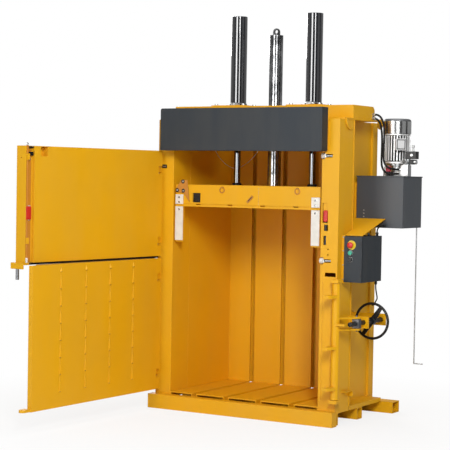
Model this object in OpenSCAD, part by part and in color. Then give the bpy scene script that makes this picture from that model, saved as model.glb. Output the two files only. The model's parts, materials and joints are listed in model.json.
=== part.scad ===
// Vertical recycling baler: a press frame with two front doors, a hydraulic
// ram on two cylinders and a guide column, a handwheel door lock and a side
// mounted power pack. Millimetres, +Z up, +Y towards the back.
// The origin is on the floor, on the centre line, under the posts' front face.

/* [Chamber] */
// Clear width between the two posts
chamber_w = 1180; // [1100:10:1240]
// Depth from the posts' front face to the back wall
chamber_d = 800; // [780:10:860]
// Thickness of the side and back walls
wall_t = 10; // [8:1:12]
// Width of a strap slot in the floor, wall and platen
slot_w = 36; // [28:1:44]
// Distance between neighbouring strap slots
slot_pitch = 260; // [230:5:275]
// Height of the floor planks
plank_h = 40; // [34:1:46]

/* [Frame] */
// Width of a front post
post_w = 125; // [118:1:140]
// Depth of a front post
post_d = 215; // [205:5:225]
// Wall thickness of the posts and beams
tube_t = 6; // [5:1:8]
// Height of the posts' upper end
post_z1 = 2048; // [2040:2:2070]
// Height of the base under the posts and walls
base_h = 80; // [76:1:84]
// Height of the front beam's nose
nose_h = 100; // [96:1:110]
// Depth of the front beam's nose
nose_d = 70; // [60:1:80]
// Height of the head beam above the top plate
head_h = 90; // [80:1:100]
// Depth of the head beam
head_d = 330; // [320:5:350]
// Thickness of the head's top plate over the side walls
head_plate_t = 12; // [8:1:16]
// Height of the head box between the walls
head_box_h = 188; // [180:1:196]

/* [Cover] */
// Distance that the cover reaches past the chamber on each side
cover_over = 49; // [46:0.5:52]
// Height of the dark front cover
cover_h = 293; // [280:1:300]
// Depth of the cover's returns
cover_d = 85; // [60:1:90]
// Thickness of the cover sheet
cover_t = 3; // [2:0.5:4]
// Thickness of the battens behind the cover
batten_t = 20; // [12:1:24]

/* [Press] */
// Outer radius of a cylinder barrel
barrel_r = 57; // [52:0.5:60]
// Radius of a piston rod
rod_r = 24; // [18:0.5:30]
// Radius of the guide column
column_r = 48; // [42:0.5:52]
// Distance from the centre line to a cylinder
cyl_x = 306; // [295:1:320]
// Distance of the cylinders behind the front face
cyl_y = 400; // [390:1:410]
// Height of the barrels' upper end
barrel_z1 = 2800; // [2780:5:2850]
// Height of the ram's underside in the shown position
ram_z = 1437; // [1430:1:1440]
// Height of the ram
ram_h = 154; // [145:1:158]
// Gap between the ram and the chamber walls
ram_gap = 15; // [12:1:20]
// Height of the guide column's upper end
column_z1 = 2656; // [2645:1:2680]

/* [Doors] */
// Height of the upper door's lower edge
upper_z0 = 1082; // [1080:1:1090]
// Height of the upper door's upper edge
upper_z1 = 1826; // [1815:1:1827]
// Height of the lower door's lower edge
lower_z0 = 136; // [130:1:140]
// Height of the lower door's upper edge
lower_z1 = 1066; // [1060:1:1067]
// Thickness of a door over its ribs
door_t = 78; // [70:1:80]
// Depth of the lower door's folded edges
edge_fold = 31; // [27:1:32]
// Thickness of a door's inner sheet
sheet_t = 4; // [3:0.5:6]
// Angle by which the upper door stands open
upper_open = 94.5; // [90:0.5:110]
// Angle by which the lower door stands open
lower_open = 92; // [90:1:110]
// Distance of a closed door from the posts
door_gap = 2; // [1:0.5:4]
// Width of the red grips
grip_w = 34; // [28:1:38]

/* [Lock] */
// Outer radius of the upright lock tube
lock_r = 28; // [24:0.5:30]
// Radius of the handwheel to the rim's middle
wheel_r = 119; // [105:1:125]
// Radius of the handwheel's rim section
rim_r = 9; // [7:0.5:11]
// Radius of the lock spindle
spindle_r = 16; // [12:0.5:17]
// Height of the lock spindle
spindle_z = 687; // [670:1:700]

/* [Power pack] */
// Width of the oil tank
tank_w = 350; // [340:5:360]
// Depth of the oil tank
tank_d = 310; // [300:5:320]
// Height of the oil tank
tank_h = 348; // [335:1:355]
// Radius of the motor over its fins
motor_r = 94; // [85:1:96]
// Width of the control box
box_w = 133; // [125:1:145]
// Depth of the control box
box_d = 300; // [290:5:310]
// Height of the control box
box_h = 306; // [296:2:312]

/* [Hidden] */

yellow = "#e2a125";
dark = "#44484c";
steel = "#b9bcbe";
white = "#f0f0ea";
black = "#1c1c1e";
red = "#c8281e";

$fn = 48;
eps = 1;
// Radial play of a shaft that turns or slides in its bore
fit = 0.06;

// Planes that everything lines up with
half = chamber_w / 2;
outer = half + post_w;
back_y = chamber_d;
floor_z = base_h + plank_h;
head_z0 = post_z1 + head_plate_t;
head_z1 = head_z0 + head_h;
head_y0 = cyl_y + 3 - head_d / 2 - 35;
head_y1 = head_y0 + head_d;
head_box_z0 = post_z1 - head_box_h;
band_t = 4;
band_d = 88;
flange_t = 8;
skin_x = half + wall_t;
rear_bar_t = 15;
rear_bar_w = 75;
rail_h = 28;
middle_y = 350;
rear_y = back_y - 60;
beam_d = 75;

// Strap slots, and the five strips that they leave
slot_xs = [for (i = [-1.5, -0.5, 0.5, 1.5]) i * slot_pitch];
function strip(i, reach) = [
  i == 0 ? -reach : slot_xs[i - 1] + slot_w / 2,
  i == 4 ? reach : slot_xs[i] - slot_w / 2
];

// Plain solids
module block(lo, hi) {
  translate(lo) cube(hi - lo);
}

// Rectangular tube, hollow along one axis: 0 is X, 1 is Y and 2 is Z
module tube_block(lo, hi, t, along) {
  inset = [for (i = [0:2]) i == along ? -eps : t];
  difference() {
    block(lo, hi);
    block(lo + inset, hi - inset);
  }
}

module rod_z(x, y, z0, z1, r) {
  translate([x, y, z0]) cylinder(r = r, h = z1 - z0);
}

module rod_y(x, z, y0, y1, r) {
  translate([x, y0, z]) rotate([-90, 0, 0]) cylinder(r = r, h = y1 - y0);
}

module rod_x(y, z, x0, x1, r) {
  translate([x0, y, z]) rotate([0, 90, 0]) cylinder(r = r, h = x1 - x0);
}

// Plate in the XZ plane, cut from a list of points
module plate_y(points, y0, y1) {
  translate([0, y1, 0]) rotate([90, 0, 0]) linear_extrude(y1 - y0) polygon(points);
}

// Bar with the given YZ profile
module bar_x(points, x0, x1) {
  translate([x0, 0, 0]) rotate([90, 0, 90]) linear_extrude(x1 - x0) polygon(points);
}

// Round tube swept along a smooth curve through hand-set points
function blend(a, b, c, d, t) = 0.5 * (
  2 * b + (c - a) * t + (2 * a - 5 * b + 4 * c - d) * t * t
  + (3 * b - a - 3 * c + d) * t * t * t
);
function smooth(p, steps) = [
  for (i = [0 : len(p) - 2], k = [0 : steps - 1])
    blend(p[max(i - 1, 0)], p[i], p[i + 1], p[min(i + 2, len(p) - 1)], k / steps),
  p[len(p) - 1]
];
function unit(v) = v / norm(v);
function heading(p, i) = unit(p[min(i + 1, len(p) - 1)] - p[max(i - 1, 0)]);
module cord_tube(points, r, side, steps, sides) {
  path = smooth(points, steps);
  rings = [for (i = [0 : len(path) - 1]) let (
    f = heading(path, i),
    u = unit(cross(f, side)),
    v = cross(u, f)
  ) for (k = [0 : sides - 1]) path[i] + r * (cos(360 * k / sides) * u + sin(360 * k / sides) * v)];
  last = len(path) - 1;
  polyhedron(
    points = rings,
    faces = concat(
      [[for (k = [0 : sides - 1]) k]],
      [[for (k = [sides - 1 : -1 : 0]) last * sides + k]],
      [for (i = [0 : last - 1], k = [0 : sides - 1]) [
        i * sides + k, (i + 1) * sides + k,
        (i + 1) * sides + (k + 1) % sides, i * sides + (k + 1) % sides
      ]]
    )
  );
}

// Frame

// Rollers and the latch sit in pockets of the right post
roller_r = 20;
roller_w = 28;
roller_y = roller_r + 2;
roller_zs = [1100, 1801];
pocket_w = 22;
pin_slot_w = 78;
pin_slot_h = 22;
latch_x = half + 30;
latch_z = 1400;
latch_travel = 40;
latch_slot_z = 1217;

module post(inner_sign) {
  difference() {
    union() {
      tube_block([half, 0, base_h], [outer, post_d, post_z1], tube_t, 2);
      block([half, 0, post_z1 - tube_t], [outer, post_d, post_z1]);
      block([outer, 0, base_h], [outer + band_t, band_d, post_z1]);
      block([half, post_d, base_h + rail_h], [outer + band_t, post_d + flange_t, post_z1]);
    }
    if (inner_sign > 0) post_cuts();
  }
}

module post_cuts() {
  for (z = roller_zs)
    block([half - eps, -eps, z - roller_r - 4], [half + pocket_w, tube_t + eps, z + roller_r + 4]);
  for (z = roller_zs) block(
    [half, -eps, z - pin_slot_h / 2],
    [half + pin_slot_w, tube_t + eps, z + pin_slot_h / 2]
  );
  for (z = roller_zs)
    block([half - eps, -eps, z - roller_r - 4], [half + tube_t + eps, 2 * roller_r + 6, z + roller_r + 4]);
  block(
    [latch_x - grip_w / 2 - 4, -eps, latch_z - 46],
    [latch_x + grip_w / 2 + 4, tube_t + eps, latch_z + 46 + latch_travel]
  );
  block([latch_x - 7, -eps, latch_z - 100], [latch_x + 23, tube_t + eps, latch_z - 58]);
  block(
    [latch_x - 10, -eps, latch_slot_z - 10],
    [latch_x + 10, tube_t + eps, latch_slot_z + 10 + latch_travel]
  );
  for (z = [lower_z1 + 75, lower_z1 + 112]) rod_y(half + 56, z, -eps, tube_t + eps, 5);
  block([half + 36, -eps, lower_z1 - 70], [outer - 8, tube_t + eps, lower_z1 - 44]);
  for (x = [half + 20, half + 104]) block([x, -eps, base_h + 90], [x + 9, 2, lower_z1 - 108]);
  block([outer - 22, -eps, 190], [outer - 4, tube_t + eps, 212]);
}

module left_post() {
  color(yellow) mirror([1, 0, 0]) post(-1);
}

module right_post() {
  color(yellow) post(1);
}

module side_walls() {
  color(yellow) for (s = [0, 1]) mirror([s, 0, 0]) {
    block([half, post_d + flange_t, base_h], [skin_x, back_y, post_z1]);
    block([skin_x, back_y - rear_bar_w, base_h], [skin_x + rear_bar_t, back_y, post_z1]);
    tube_block([skin_x, post_d + flange_t, base_h], [outer, back_y - rear_bar_w, base_h + rail_h], 3, 1);
  }
}

module back_wall() {
  color(yellow) for (i = [0:4]) {
    s = strip(i, skin_x);
    block([s[0], back_y, base_h], [s[1], back_y + wall_t, post_z1]);
  }
}

module strap_channels() {
  lip = 20;
  color(yellow) for (x = slot_xs)
    difference() {
      block(
        [x - slot_w / 2 - lip, back_y + wall_t, base_h + 30],
        [x + slot_w / 2 + lip, back_y + wall_t + 40, post_z1]
      );
      block(
        [x - slot_w / 2 - lip + 4, back_y + wall_t - eps, base_h + 26],
        [x + slot_w / 2 + lip - 4, back_y + wall_t + 36, post_z1 + eps]
      );
    }
}

module floor_planks() {
  color(yellow) for (i = [0:4]) {
    s = strip(i, half);
    difference() {
      block([s[0], 0, base_h], [s[1], back_y, floor_z]);
      block([s[0] + 6, -eps, base_h - eps], [s[1] - 6, back_y + eps, floor_z - 8]);
    }
  }
}

anchor_x = outer - 40;
anchor_r = 9;
anchor_front_y = -nose_d / 2;
anchor_rear_y = rear_y + 80;

module base_beams() {
  color(yellow) {
    difference() {
      union() {
        tube_block([-outer - 20, -nose_d, 0], [outer + 20, 0, nose_h], tube_t, 0);
        tube_block([-outer, 0, 0], [outer, 60, base_h], tube_t, 0);
        for (s = [-1, 1]) block([s * outer - 6 + s * 14, -nose_d, 0], [s * outer + 6 + s * 14, 0, nose_h]);
      }
      for (s = [-1, 1]) rod_z(s * anchor_x, anchor_front_y, -eps, nose_h + eps, anchor_r);
    }
    tube_block([-outer, middle_y, 0], [outer, middle_y + beam_d, base_h], tube_t, 0);
    difference() {
      tube_block([-outer - 85, rear_y, 0], [outer + 85, rear_y + 110, base_h], tube_t, 0);
      for (s = [-1, 1]) rod_z(s * anchor_x, anchor_rear_y, -eps, base_h + eps, anchor_r);
    }
  }
}

module head_plate() {
  color(yellow) difference() {
    block([-outer - band_t, 70, post_z1], [outer + band_t, eye_y - 3, head_z0]);
    head_bores(post_z1 - eps, head_z0 + eps);
  }
}

// Bores of the two barrels and the guide bush
bush_r = column_r + 14;
module head_bores(z0, z1) {
  for (s = [-1, 1]) rod_z(s * cyl_x, cyl_y, z0, z1, barrel_r + 0.5);
  rod_z(0, cyl_y, z0, z1, bush_r + 0.5);
}

module head_beam() {
  chamfer = 22;
  profile = [
    [head_y0, head_z0], [head_y1, head_z0], [head_y1, head_z1 - chamfer],
    [head_y1 - chamfer, head_z1], [head_y0, head_z1]
  ];
  core = [
    [head_y0 + 8, head_z0 + 8], [head_y1 - 8, head_z0 + 8], [head_y1 - 8, head_z1 - chamfer - 4],
    [head_y1 - chamfer - 4, head_z1 - 8], [head_y0 + 8, head_z1 - 8]
  ];
  color(yellow) {
    difference() {
      bar_x(profile, -outer, outer);
      bar_x(core, -outer + 8, outer - 8);
      head_bores(head_z0 - eps, head_z1 + eps);
    }
    difference() {
      block([-half, post_d + 5, head_box_z0], [half, head_y1 - 10, post_z1]);
      block([-half - eps, post_d + 13, head_box_z0 + 8], [half + eps, head_y1 - 18, post_z1 - 8]);
      head_bores(head_box_z0 - eps, post_z1 + eps);
    }
  }
}

module front_crossbeam() {
  color(yellow) tube_block([-half, 10, upper_z1 + 24], [half, 110, post_z1 - 8], tube_t, 0);
}

eye_r = 35;
eye_hole_r = 20;
eye_t = 12;
eye_y = cyl_y + 203;
eye_z = post_z1 - 16;
hook_r = 62;
hook_bar_r = 6;
hook_y = 145;
module small_brackets() {
  color(yellow) {
    // Cable hook of round bar under the head plate
    translate([outer + band_t + hook_bar_r, hook_y, post_z1]) rotate([90, 0, 90]) rotate([0, 0, 180])
      rotate_extrude(angle = 115) translate([hook_r, 0]) circle(r = hook_bar_r);
    block(
      [outer + band_t, hook_y - hook_r - 6, post_z1 - 20],
      [outer + band_t + 2 * hook_bar_r, hook_y - hook_r + 5, post_z1 + 4]
    );
    // Slotted tab low on the right post
    difference() {
      block([outer, 100, 216], [outer + 34, 210, 222]);
      block([outer + 10, 120, 215], [outer + 22, 190, 223]);
    }
    block([outer, 204, 180], [outer + 34, 210, 216]);
    // Lifting eyes on the ends of the head plate
    for (s = [0, 1]) mirror([s, 0, 0]) difference() {
      rod_x(eye_y, eye_z, outer + band_t, outer + band_t + eye_t, eye_r);
      rod_x(eye_y, eye_z, outer + band_t - eps, outer + band_t + eye_t + eps, eye_hole_r);
    }
    // Battens between the posts and the cover
    for (s = [0, 1]) mirror([s, 0, 0])
      block([half + 2, -batten_t, upper_z1 + 9], [cover_w / 2 - cover_t, 0, post_z1]);
    // Supports of the control box and of the oil tank
    block([outer + band_t, box_y0 + 2, box_z0 - 8], [box_x0, box_y0 + 8, box_z1 + 6]);
    block([outer + band_t, box_y0 + 8, box_z0 + 20], [box_x0, box_y0 + 140, box_z0 + 60]);
    for (y = [tank_y0 + 30, back_y - rear_bar_w - 65])
      block([skin_x, y, tank_z0 + 40], [tank_x0, y + 40, tank_z1 - 40]);
  }
}

cover_lip = 25;
cover_w = chamber_w + 2 * cover_over;
module front_cover() {
  y0 = -batten_t - cover_d;
  z0 = upper_z1 + 3;
  c = 9;
  w = cover_w / 2;
  rim = [
    [-w, z0], [w - c, z0], [w, z0 + c], [w, z0 + cover_h],
    [-w + c, z0 + cover_h], [-w, z0 + cover_h - c]
  ];
  pan = [
    [-w + cover_t, z0 + cover_t], [w - c, z0 + cover_t], [w - cover_t, z0 + c],
    [w - cover_t, z0 + cover_h - cover_t], [-w + c, z0 + cover_h - cover_t],
    [-w + cover_t, z0 + cover_h - c]
  ];
  color(dark) difference() {
    plate_y(rim, y0, -batten_t);
    plate_y(pan, y0 + cover_t, -batten_t - cover_t);
    block(
      [-w + cover_t + cover_lip, -batten_t - cover_t - eps, z0 + cover_t],
      [w - cover_t - cover_lip, -batten_t + eps, z0 + cover_h - cover_t]
    );
  }
}

// Press

gland_z0 = head_box_z0 - 10;
piston_z = 2510;
piston_h = 50;
bore_r = barrel_r - 12;
module barrels() {
  color(dark) for (s = [-1, 1]) difference() {
    union() {
      rod_z(s * cyl_x, cyl_y, head_box_z0 + 8, barrel_z1, barrel_r);
      rod_z(s * cyl_x, cyl_y, gland_z0, head_box_z0 + 8, rod_r + 14);
      rod_z(s * cyl_x, cyl_y, head_z1 + 12, head_z1 + 28, barrel_r + 5);
    }
    rod_z(s * cyl_x, cyl_y, gland_z0 - eps, head_box_z0 + 40, rod_r + fit);
    rod_z(s * cyl_x, cyl_y, head_box_z0 + 39, barrel_z1 - 15, bore_r);
  }
}

flange_w = 280;
flange_d = 200;
flange_h = 12;
flange_shift = -26;
bolt_r = 8;
bolt_in_x = 112;
bolt_in_y = 76;
function flange_bolt_spots() = [for (s = [-1, 1], i = [-1, 1], j = [-1, 1])
  [s * cyl_x + flange_shift + i * bolt_in_x, cyl_y + j * bolt_in_y]];

module cylinder_flanges() {
  color(yellow) for (s = [-1, 1]) difference() {
    block(
      [s * cyl_x + flange_shift - flange_w / 2, cyl_y - flange_d / 2, head_z1],
      [s * cyl_x + flange_shift + flange_w / 2, cyl_y + flange_d / 2, head_z1 + flange_h]
    );
    rod_z(s * cyl_x, cyl_y, head_z1 - eps, head_z1 + flange_h + eps, barrel_r + 0.5);
    for (p = flange_bolt_spots()) rod_z(p[0], p[1], head_z1 - eps, head_z1 + flange_h + eps, bolt_r + 0.5);
  }
}

module flange_bolts() {
  color(steel) for (p = flange_bolt_spots()) {
    rod_z(p[0], p[1], head_z1, head_z1 + flange_h, bolt_r);
    translate([p[0], p[1], head_z1 + flange_h]) cylinder(r = bolt_r * 1.8, h = 10, $fn = 6);
  }
}

module guide_bush() {
  color(steel) difference() {
    union() {
      rod_z(0, cyl_y, head_box_z0 - 12, head_z1, bush_r);
      rod_z(0, cyl_y, head_box_z0 - 12, head_box_z0, bush_r + 14);
    }
    rod_z(0, cyl_y, head_box_z0 - 13, head_z1 + eps, column_r + fit);
  }
}

// Doors: the hinge axis stands in front of the left post
hinge_x = -outer + 10;
hinge_back = 43;
hinge_y = -door_gap - hinge_back;
pin_r = 12;
knuckle_r = 22;
knuckle_h = 40;
upper_knuckles = [upper_z0 + 90, upper_z1 - 150];
lower_knuckles = [lower_z0 + 100, lower_z1 - 150];

module hinge_brackets() {
  color(yellow) for (z = concat(upper_knuckles, lower_knuckles)) difference() {
    union() {
      rod_z(hinge_x, hinge_y, z, z + knuckle_h, knuckle_r);
      block([hinge_x - 16, hinge_y, z], [hinge_x + 16, 0, z + knuckle_h]);
    }
    rod_z(hinge_x, hinge_y, z - eps, z + knuckle_h + eps, pin_r);
  }
}

module hinge_pins() {
  color(steel) for (z = concat(upper_knuckles, lower_knuckles)) {
    rod_z(hinge_x, hinge_y, z - 10, z + 2 * knuckle_h + 12, pin_r);
    rod_z(hinge_x, hinge_y, z - 14, z, knuckle_r - 4);
  }
}

// A piece drawn as if its door were shut, turned to where the door stands open
module on_door(angle) {
  translate([hinge_x, hinge_y, 0]) rotate([0, 0, -angle]) translate([-hinge_x, -hinge_y, 0])
    children();
}

module door_knuckles(zs, y0, y1) {
  for (z = zs) difference() {
    union() {
      rod_z(hinge_x, hinge_y, z + knuckle_h + 1, z + 2 * knuckle_h, knuckle_r);
      block(
        [hinge_x, hinge_y - 12, z + knuckle_h + 1],
        [hinge_x + 40, hinge_y + 12, z + 2 * knuckle_h]
      );
    }
    rod_z(hinge_x, hinge_y, z + knuckle_h, z + 2 * knuckle_h + eps, pin_r + fit);
  }
}

tip_upper = outer - 35;
tip_lower = outer - 43;
frame_x0 = hinge_x + 34;
inner_y = -door_gap;
sheet_y = inner_y - sheet_t;
outer_y = inner_y - door_t;
edge_w = 50;
plate_t = 6;

// Channel along the upper door's free edge, open to the inner side
channel_w = 76;
channel_depth = 20;
channel_x0 = tip_upper - plate_t - channel_w;
channel_x1 = tip_upper - plate_t;
channel_y = inner_y - channel_depth;

// Notches that let the inner sheet pass the fixed hinge brackets
module bracket_notches(zs) {
  for (z = zs)
    block([hinge_x - 40, sheet_y - eps, z - 16], [hinge_x + 30, inner_y + eps, z + knuckle_h + 1]);
}

// Ribs and uprights of square tube on a door's outer side
module door_rails(x1, z0, z1, ribs) {
  for (x = [frame_x0, x1 - edge_w]) tube_block([x, outer_y, z0], [x + edge_w, sheet_y, z1], 4, 2);
  for (z = ribs) tube_block([frame_x0 + edge_w, outer_y, z], [x1 - edge_w, sheet_y, z + edge_w], 4, 0);
}

upper_ribs = [0, 0.33, 0.66, 1];
module upper_door() {
  h = upper_z1 - upper_z0 - edge_w;
  color(yellow) on_door(upper_open) {
    difference() {
      union() {
        block([hinge_x - 10, sheet_y, upper_z0], [channel_x0, inner_y, upper_z1]);
        door_rails(channel_x0, upper_z0, upper_z1, [for (k = upper_ribs) upper_z0 + k * h]);
        block([channel_x0 - sheet_t, channel_y - sheet_t, upper_z0], [channel_x0, inner_y, upper_z1]);
        block([channel_x0 - sheet_t, channel_y - sheet_t, upper_z0], [channel_x1, channel_y, upper_z1]);
        block([channel_x1, outer_y, upper_z0], [tip_upper, inner_y, upper_z1]);
        block([channel_x1 - edge_w, outer_y, upper_z0], [tip_upper, outer_y + sheet_t, upper_z1]);
        block(
          [finger_x - sheet_t, sheet_y - finger_depth - sheet_t, upper_z1 - finger_h - 2 * sheet_t],
          [finger_x + finger_w + sheet_t, sheet_y, upper_z1]
        );
      }
      // Finger pocket and a hole in the end plate
      block(
        [finger_x, sheet_y - finger_depth, upper_z1 - finger_h - sheet_t],
        [finger_x + finger_w, inner_y + eps, upper_z1 - sheet_t]
      );
      rod_x(outer_y + door_t / 2, upper_z1 - 76, channel_x1 - eps, tip_upper + eps, 4);
      bracket_notches(upper_knuckles);
    }
    door_knuckles(upper_knuckles);
  }
}
finger_x = channel_x0 - 125;
finger_w = 68;
finger_h = 61;
finger_depth = 40;

guide_w = 14;
module upper_hardware() {
  color(yellow) on_door(upper_open) {
    // Guide blocks of the drop bolt, in the channel
    for (z = [upper_z0 + 120, upper_z1 - 90]) difference() {
      block([bolt_x - guide_w, channel_y, z], [bolt_x + guide_w, inner_y - 0.5, z + 40]);
      rod_z(bolt_x, bolt_y, z - eps, z + 41, bolt_rod_r + fit);
    }
    // Foot plate with a flange that hangs clear of the lower door's edge
    block([tip_upper - 44, foot_y, lower_z1 + 2], [foot_x + foot_t, inner_y - 2, upper_z0]);
    block([foot_x, foot_y, upper_z0 - 40], [foot_x + foot_t, inner_y - 2, lower_z1 + 2]);
  }
}
foot_x = tip_upper + 6;
foot_t = 8;
foot_y = outer_y - 30;

bolt_rod_r = 8;
bolt_x = tip_upper - 24;
bolt_y = inner_y - channel_depth / 2;
bolt_eye_r = 8;
bolt_wire_r = 3;
grip_z = 1399;
grip_h = 90;
module drop_bolt() {
  on_door(upper_open) {
    color(yellow) rod_z(bolt_x, bolt_y, upper_z0 + 10, upper_z1 + 2, bolt_rod_r);
    color(red) block(
      [bolt_x - grip_w / 2, channel_y + 2, grip_z - grip_h / 2],
      [bolt_x + grip_w / 2, inner_y - 1, grip_z + grip_h / 2]
    );
    color(steel) translate([bolt_x, bolt_y, upper_z1 + 2 + bolt_eye_r]) rotate([90, 0, 0])
      rotate_extrude() translate([bolt_eye_r, 0]) circle(r = bolt_wire_r);
  }
}

pin_out_r = 11;
pin_x = foot_x + foot_t / 2;
pin_y = inner_y - 52;
pin_len = 68;
module door_pin() {
  color(steel) on_door(upper_open)
    rod_z(pin_x, pin_y, upper_z0 - 40 - pin_len, upper_z0 - 40, pin_out_r);
}

rail_setback = 122;
lower_ribs = [0, 0.25, 0.5, 0.75, 1];
module lower_door() {
  h = lower_z1 - lower_z0 - edge_w;
  fold_y = inner_y - edge_fold;
  color(yellow) on_door(lower_open) {
    difference() {
      block([hinge_x - 10, sheet_y, lower_z0], [tip_lower, inner_y, lower_z1]);
      bracket_notches(lower_knuckles);
    }
    // Folded edges
    block([tip_lower - sheet_t, fold_y, lower_z0], [tip_lower, sheet_y, lower_z1]);
    block([tip_lower - 24, fold_y, lower_z0], [tip_lower - sheet_t, fold_y + sheet_t, lower_z1]);
    for (z = [lower_z0, lower_z1 - sheet_t])
      block([tip_lower - rail_setback, fold_y, z], [tip_lower - sheet_t, sheet_y, z + sheet_t]);
    door_rails(tip_lower - rail_setback, lower_z0, lower_z1, [for (k = lower_ribs) lower_z0 + k * h]);
    door_knuckles(lower_knuckles);
    // Tongue at the foot of the free edge
    block(
      [tip_lower, tongue_y - tongue_r, lower_z0 + 2],
      [tip_lower + 46, tongue_y + tongue_r, lower_z0 + 20]
    );
    rod_z(tip_lower + 46, tongue_y, lower_z0 + 2, lower_z0 + 20, tongue_r);
  }
}
tongue_r = 25;
tongue_y = inner_y - 4 - tongue_r;

tooth_pitch = 111.5;
tooth_w = 16;
tooth_t = 8;
module strap_guides() {
  color(yellow) on_door(lower_open) for (x = slot_xs, i = [0:6]) {
    z = lower_z0 + 100 + i * tooth_pitch;
    bar_x([[inner_y, z], [inner_y + tooth_t, z + 8], [inner_y, z + 74]], x - tooth_w / 2, x + tooth_w / 2);
  }
}

// Ram
ram_half = half - ram_gap;
ram_y0 = 12;
ram_y1 = back_y - ram_gap;
platen_t = 20;
ram_z1 = ram_z + ram_h;
shoe_w = 63;
shoe_h = 250;

module ram_platen() {
  color(yellow) for (i = [0:4]) {
    s = strip(i, ram_half);
    block([s[0], ram_y0, ram_z], [s[1], ram_y1, ram_z + platen_t]);
  }
}

module ram_frame() {
  z0 = ram_z + platen_t;
  color(yellow) {
    difference() {
      block([-ram_half, ram_y0, z0], [ram_half, ram_y0 + 12, ram_z1]);
      block([138 - ram_half, ram_y0 - eps, ram_z + 30], [204 - ram_half, ram_y0 + 13, ram_z + 96]);
    }
    block([-ram_half, ram_y0 - 5, ram_z], [ram_half, ram_y0, ram_z + 12]);
    block([-ram_half, ram_y1 - 12, z0], [ram_half, ram_y1, ram_z1]);
    for (s = [-1, 1]) block(
      [s * (ram_half - 6) - 6, ram_y0 + 12, z0],
      [s * (ram_half - 6) + 6, ram_y1 - 12, ram_z1]
    );
    for (y = [cyl_y - 70, cyl_y + 58]) block([-ram_half + 12, y, z0], [ram_half - 12, y + 12, ram_z1 - 8]);
    difference() {
      block([-ram_half + 12, cyl_y - 90, ram_z1 - 8], [ram_half - 12, cyl_y + 90, ram_z1]);
      rod_z(0, cyl_y, ram_z1 - 9, ram_z1 + eps, column_r + 0.5);
    }
    for (s = [-1, 1]) block(
      [min(s * ram_half, s * (ram_half - shoe_w)), ram_y0, ram_z - shoe_h],
      [max(s * ram_half, s * (ram_half - shoe_w)), ram_y0 + 18, ram_z]
    );
  }
}

module wear_blocks() {
  color(white) for (s = [-1, 1]) {
    lo = min(s * ram_half, s * (ram_half - shoe_w));
    hi = max(s * ram_half, s * (ram_half - shoe_w));
    block([lo, ram_y0 - 9, ram_z + 16], [hi, ram_y0, ram_z + 84]);
    block([lo, ram_y0 - 9, ram_z - shoe_h + 10], [hi, ram_y0, ram_z - 1]);
  }
}

module ram_fittings() {
  y1 = ram_y0;
  color(steel) {
    translate([-ram_half, 0, 0]) {
      plate_y([
        [0, ram_z + 119], [0, ram_z + 100], [68, ram_z + 94], [118, ram_z + 30],
        [97, ram_z1 + 32], [47, ram_z1 + 32]
      ], y1 - 9, y1 - 5);
      block([65, y1 - 5, ram_z + 100], [93, y1, ram_z + 140]);
      for (p = [[72, ram_z1 + 18], [72, ram_z + 112], [19, ram_z + 112]])
        rod_y(p[0], p[1], y1 - 11, y1 - 9, 8);
    }
    for (p = [[-192, ram_z + 120], [402, ram_z + 122]]) {
      translate([p[0], y1 - 4, p[1]]) rotate([90, 0, 0]) rotate_extrude() translate([18, 0]) circle(r = 4);
      block([p[0] - 10, y1 - 4, p[1] + 14], [p[0] + 10, y1, p[1] + 24]);
    }
    translate([32, y1 - 6, ram_z + 60]) rotate([0, -45, 0]) difference() {
      translate([-38, 0, -11]) cube([76, 6, 22]);
      translate([-18, -eps, -4]) cube([44, 8, 8]);
    }
  }
}

module piston_rods() {
  color(steel) for (s = [-1, 1]) {
    rod_z(s * cyl_x, cyl_y, ram_z1, piston_z + piston_h, rod_r);
    rod_z(s * cyl_x, cyl_y, ram_z1, ram_z1 + 14, rod_r + 9);
    rod_z(s * cyl_x, cyl_y, piston_z, piston_z + piston_h, bore_r - fit);
  }
}

module guide_column() {
  lug_w = 52;
  color(steel) {
    rod_z(0, cyl_y, ram_z + platen_t, column_z1, column_r);
    difference() {
      union() {
        block([-lug_w / 2, cyl_y - 6, column_z1], [lug_w / 2, cyl_y + 6, column_z1 + 24]);
        rod_y(0, column_z1 + 24, cyl_y - 6, cyl_y + 6, lug_w / 2);
      }
      rod_y(0, column_z1 + 26, cyl_y - 7, cyl_y + 7, lug_hole_r);
    }
  }
}
lug_hole_r = 13;

// Lock
lock_x = outer + 15;
lock_y = -lock_r - 4;
lock_z0 = lower_z0 + 48;
lock_z1 = lower_z1 - 110;
journal_r = 12;
trunnion_r = 6;
slot_half = 14;
nut_x = outer + 107;
nut_y = 95;
arm_angle = atan2(nut_y - lock_y, nut_x - lock_x);
arm_len = norm([nut_x - lock_x, nut_y - lock_y]);
nut_h = 62;
prong_t = 12;

module lock_brackets() {
  color(yellow) {
    for (z = [lock_z0 - 27, lock_z1 + 3]) difference() {
      block([tip_upper + 23, lock_y - lock_r, z], [lock_x + lock_r, 0, z + 24]);
      rod_z(lock_x, lock_y, z - eps, z + 25, journal_r + fit);
    }
    // Bearings of the spindle, on the post's flange and on the side wall
    difference() {
      block([outer, post_d - 16, spindle_z - 40], [nut_x + 34, post_d, spindle_z + 40]);
      rod_y(nut_x, spindle_z, post_d - 17, post_d + eps, spindle_r + fit);
    }
    difference() {
      block([skin_x, wheel_y + 140, spindle_z - 40], [nut_x + 34, wheel_y + 156, spindle_z + 40]);
      rod_y(nut_x, spindle_z, wheel_y + 139, wheel_y + 157, spindle_r + fit);
    }
  }
}

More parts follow.
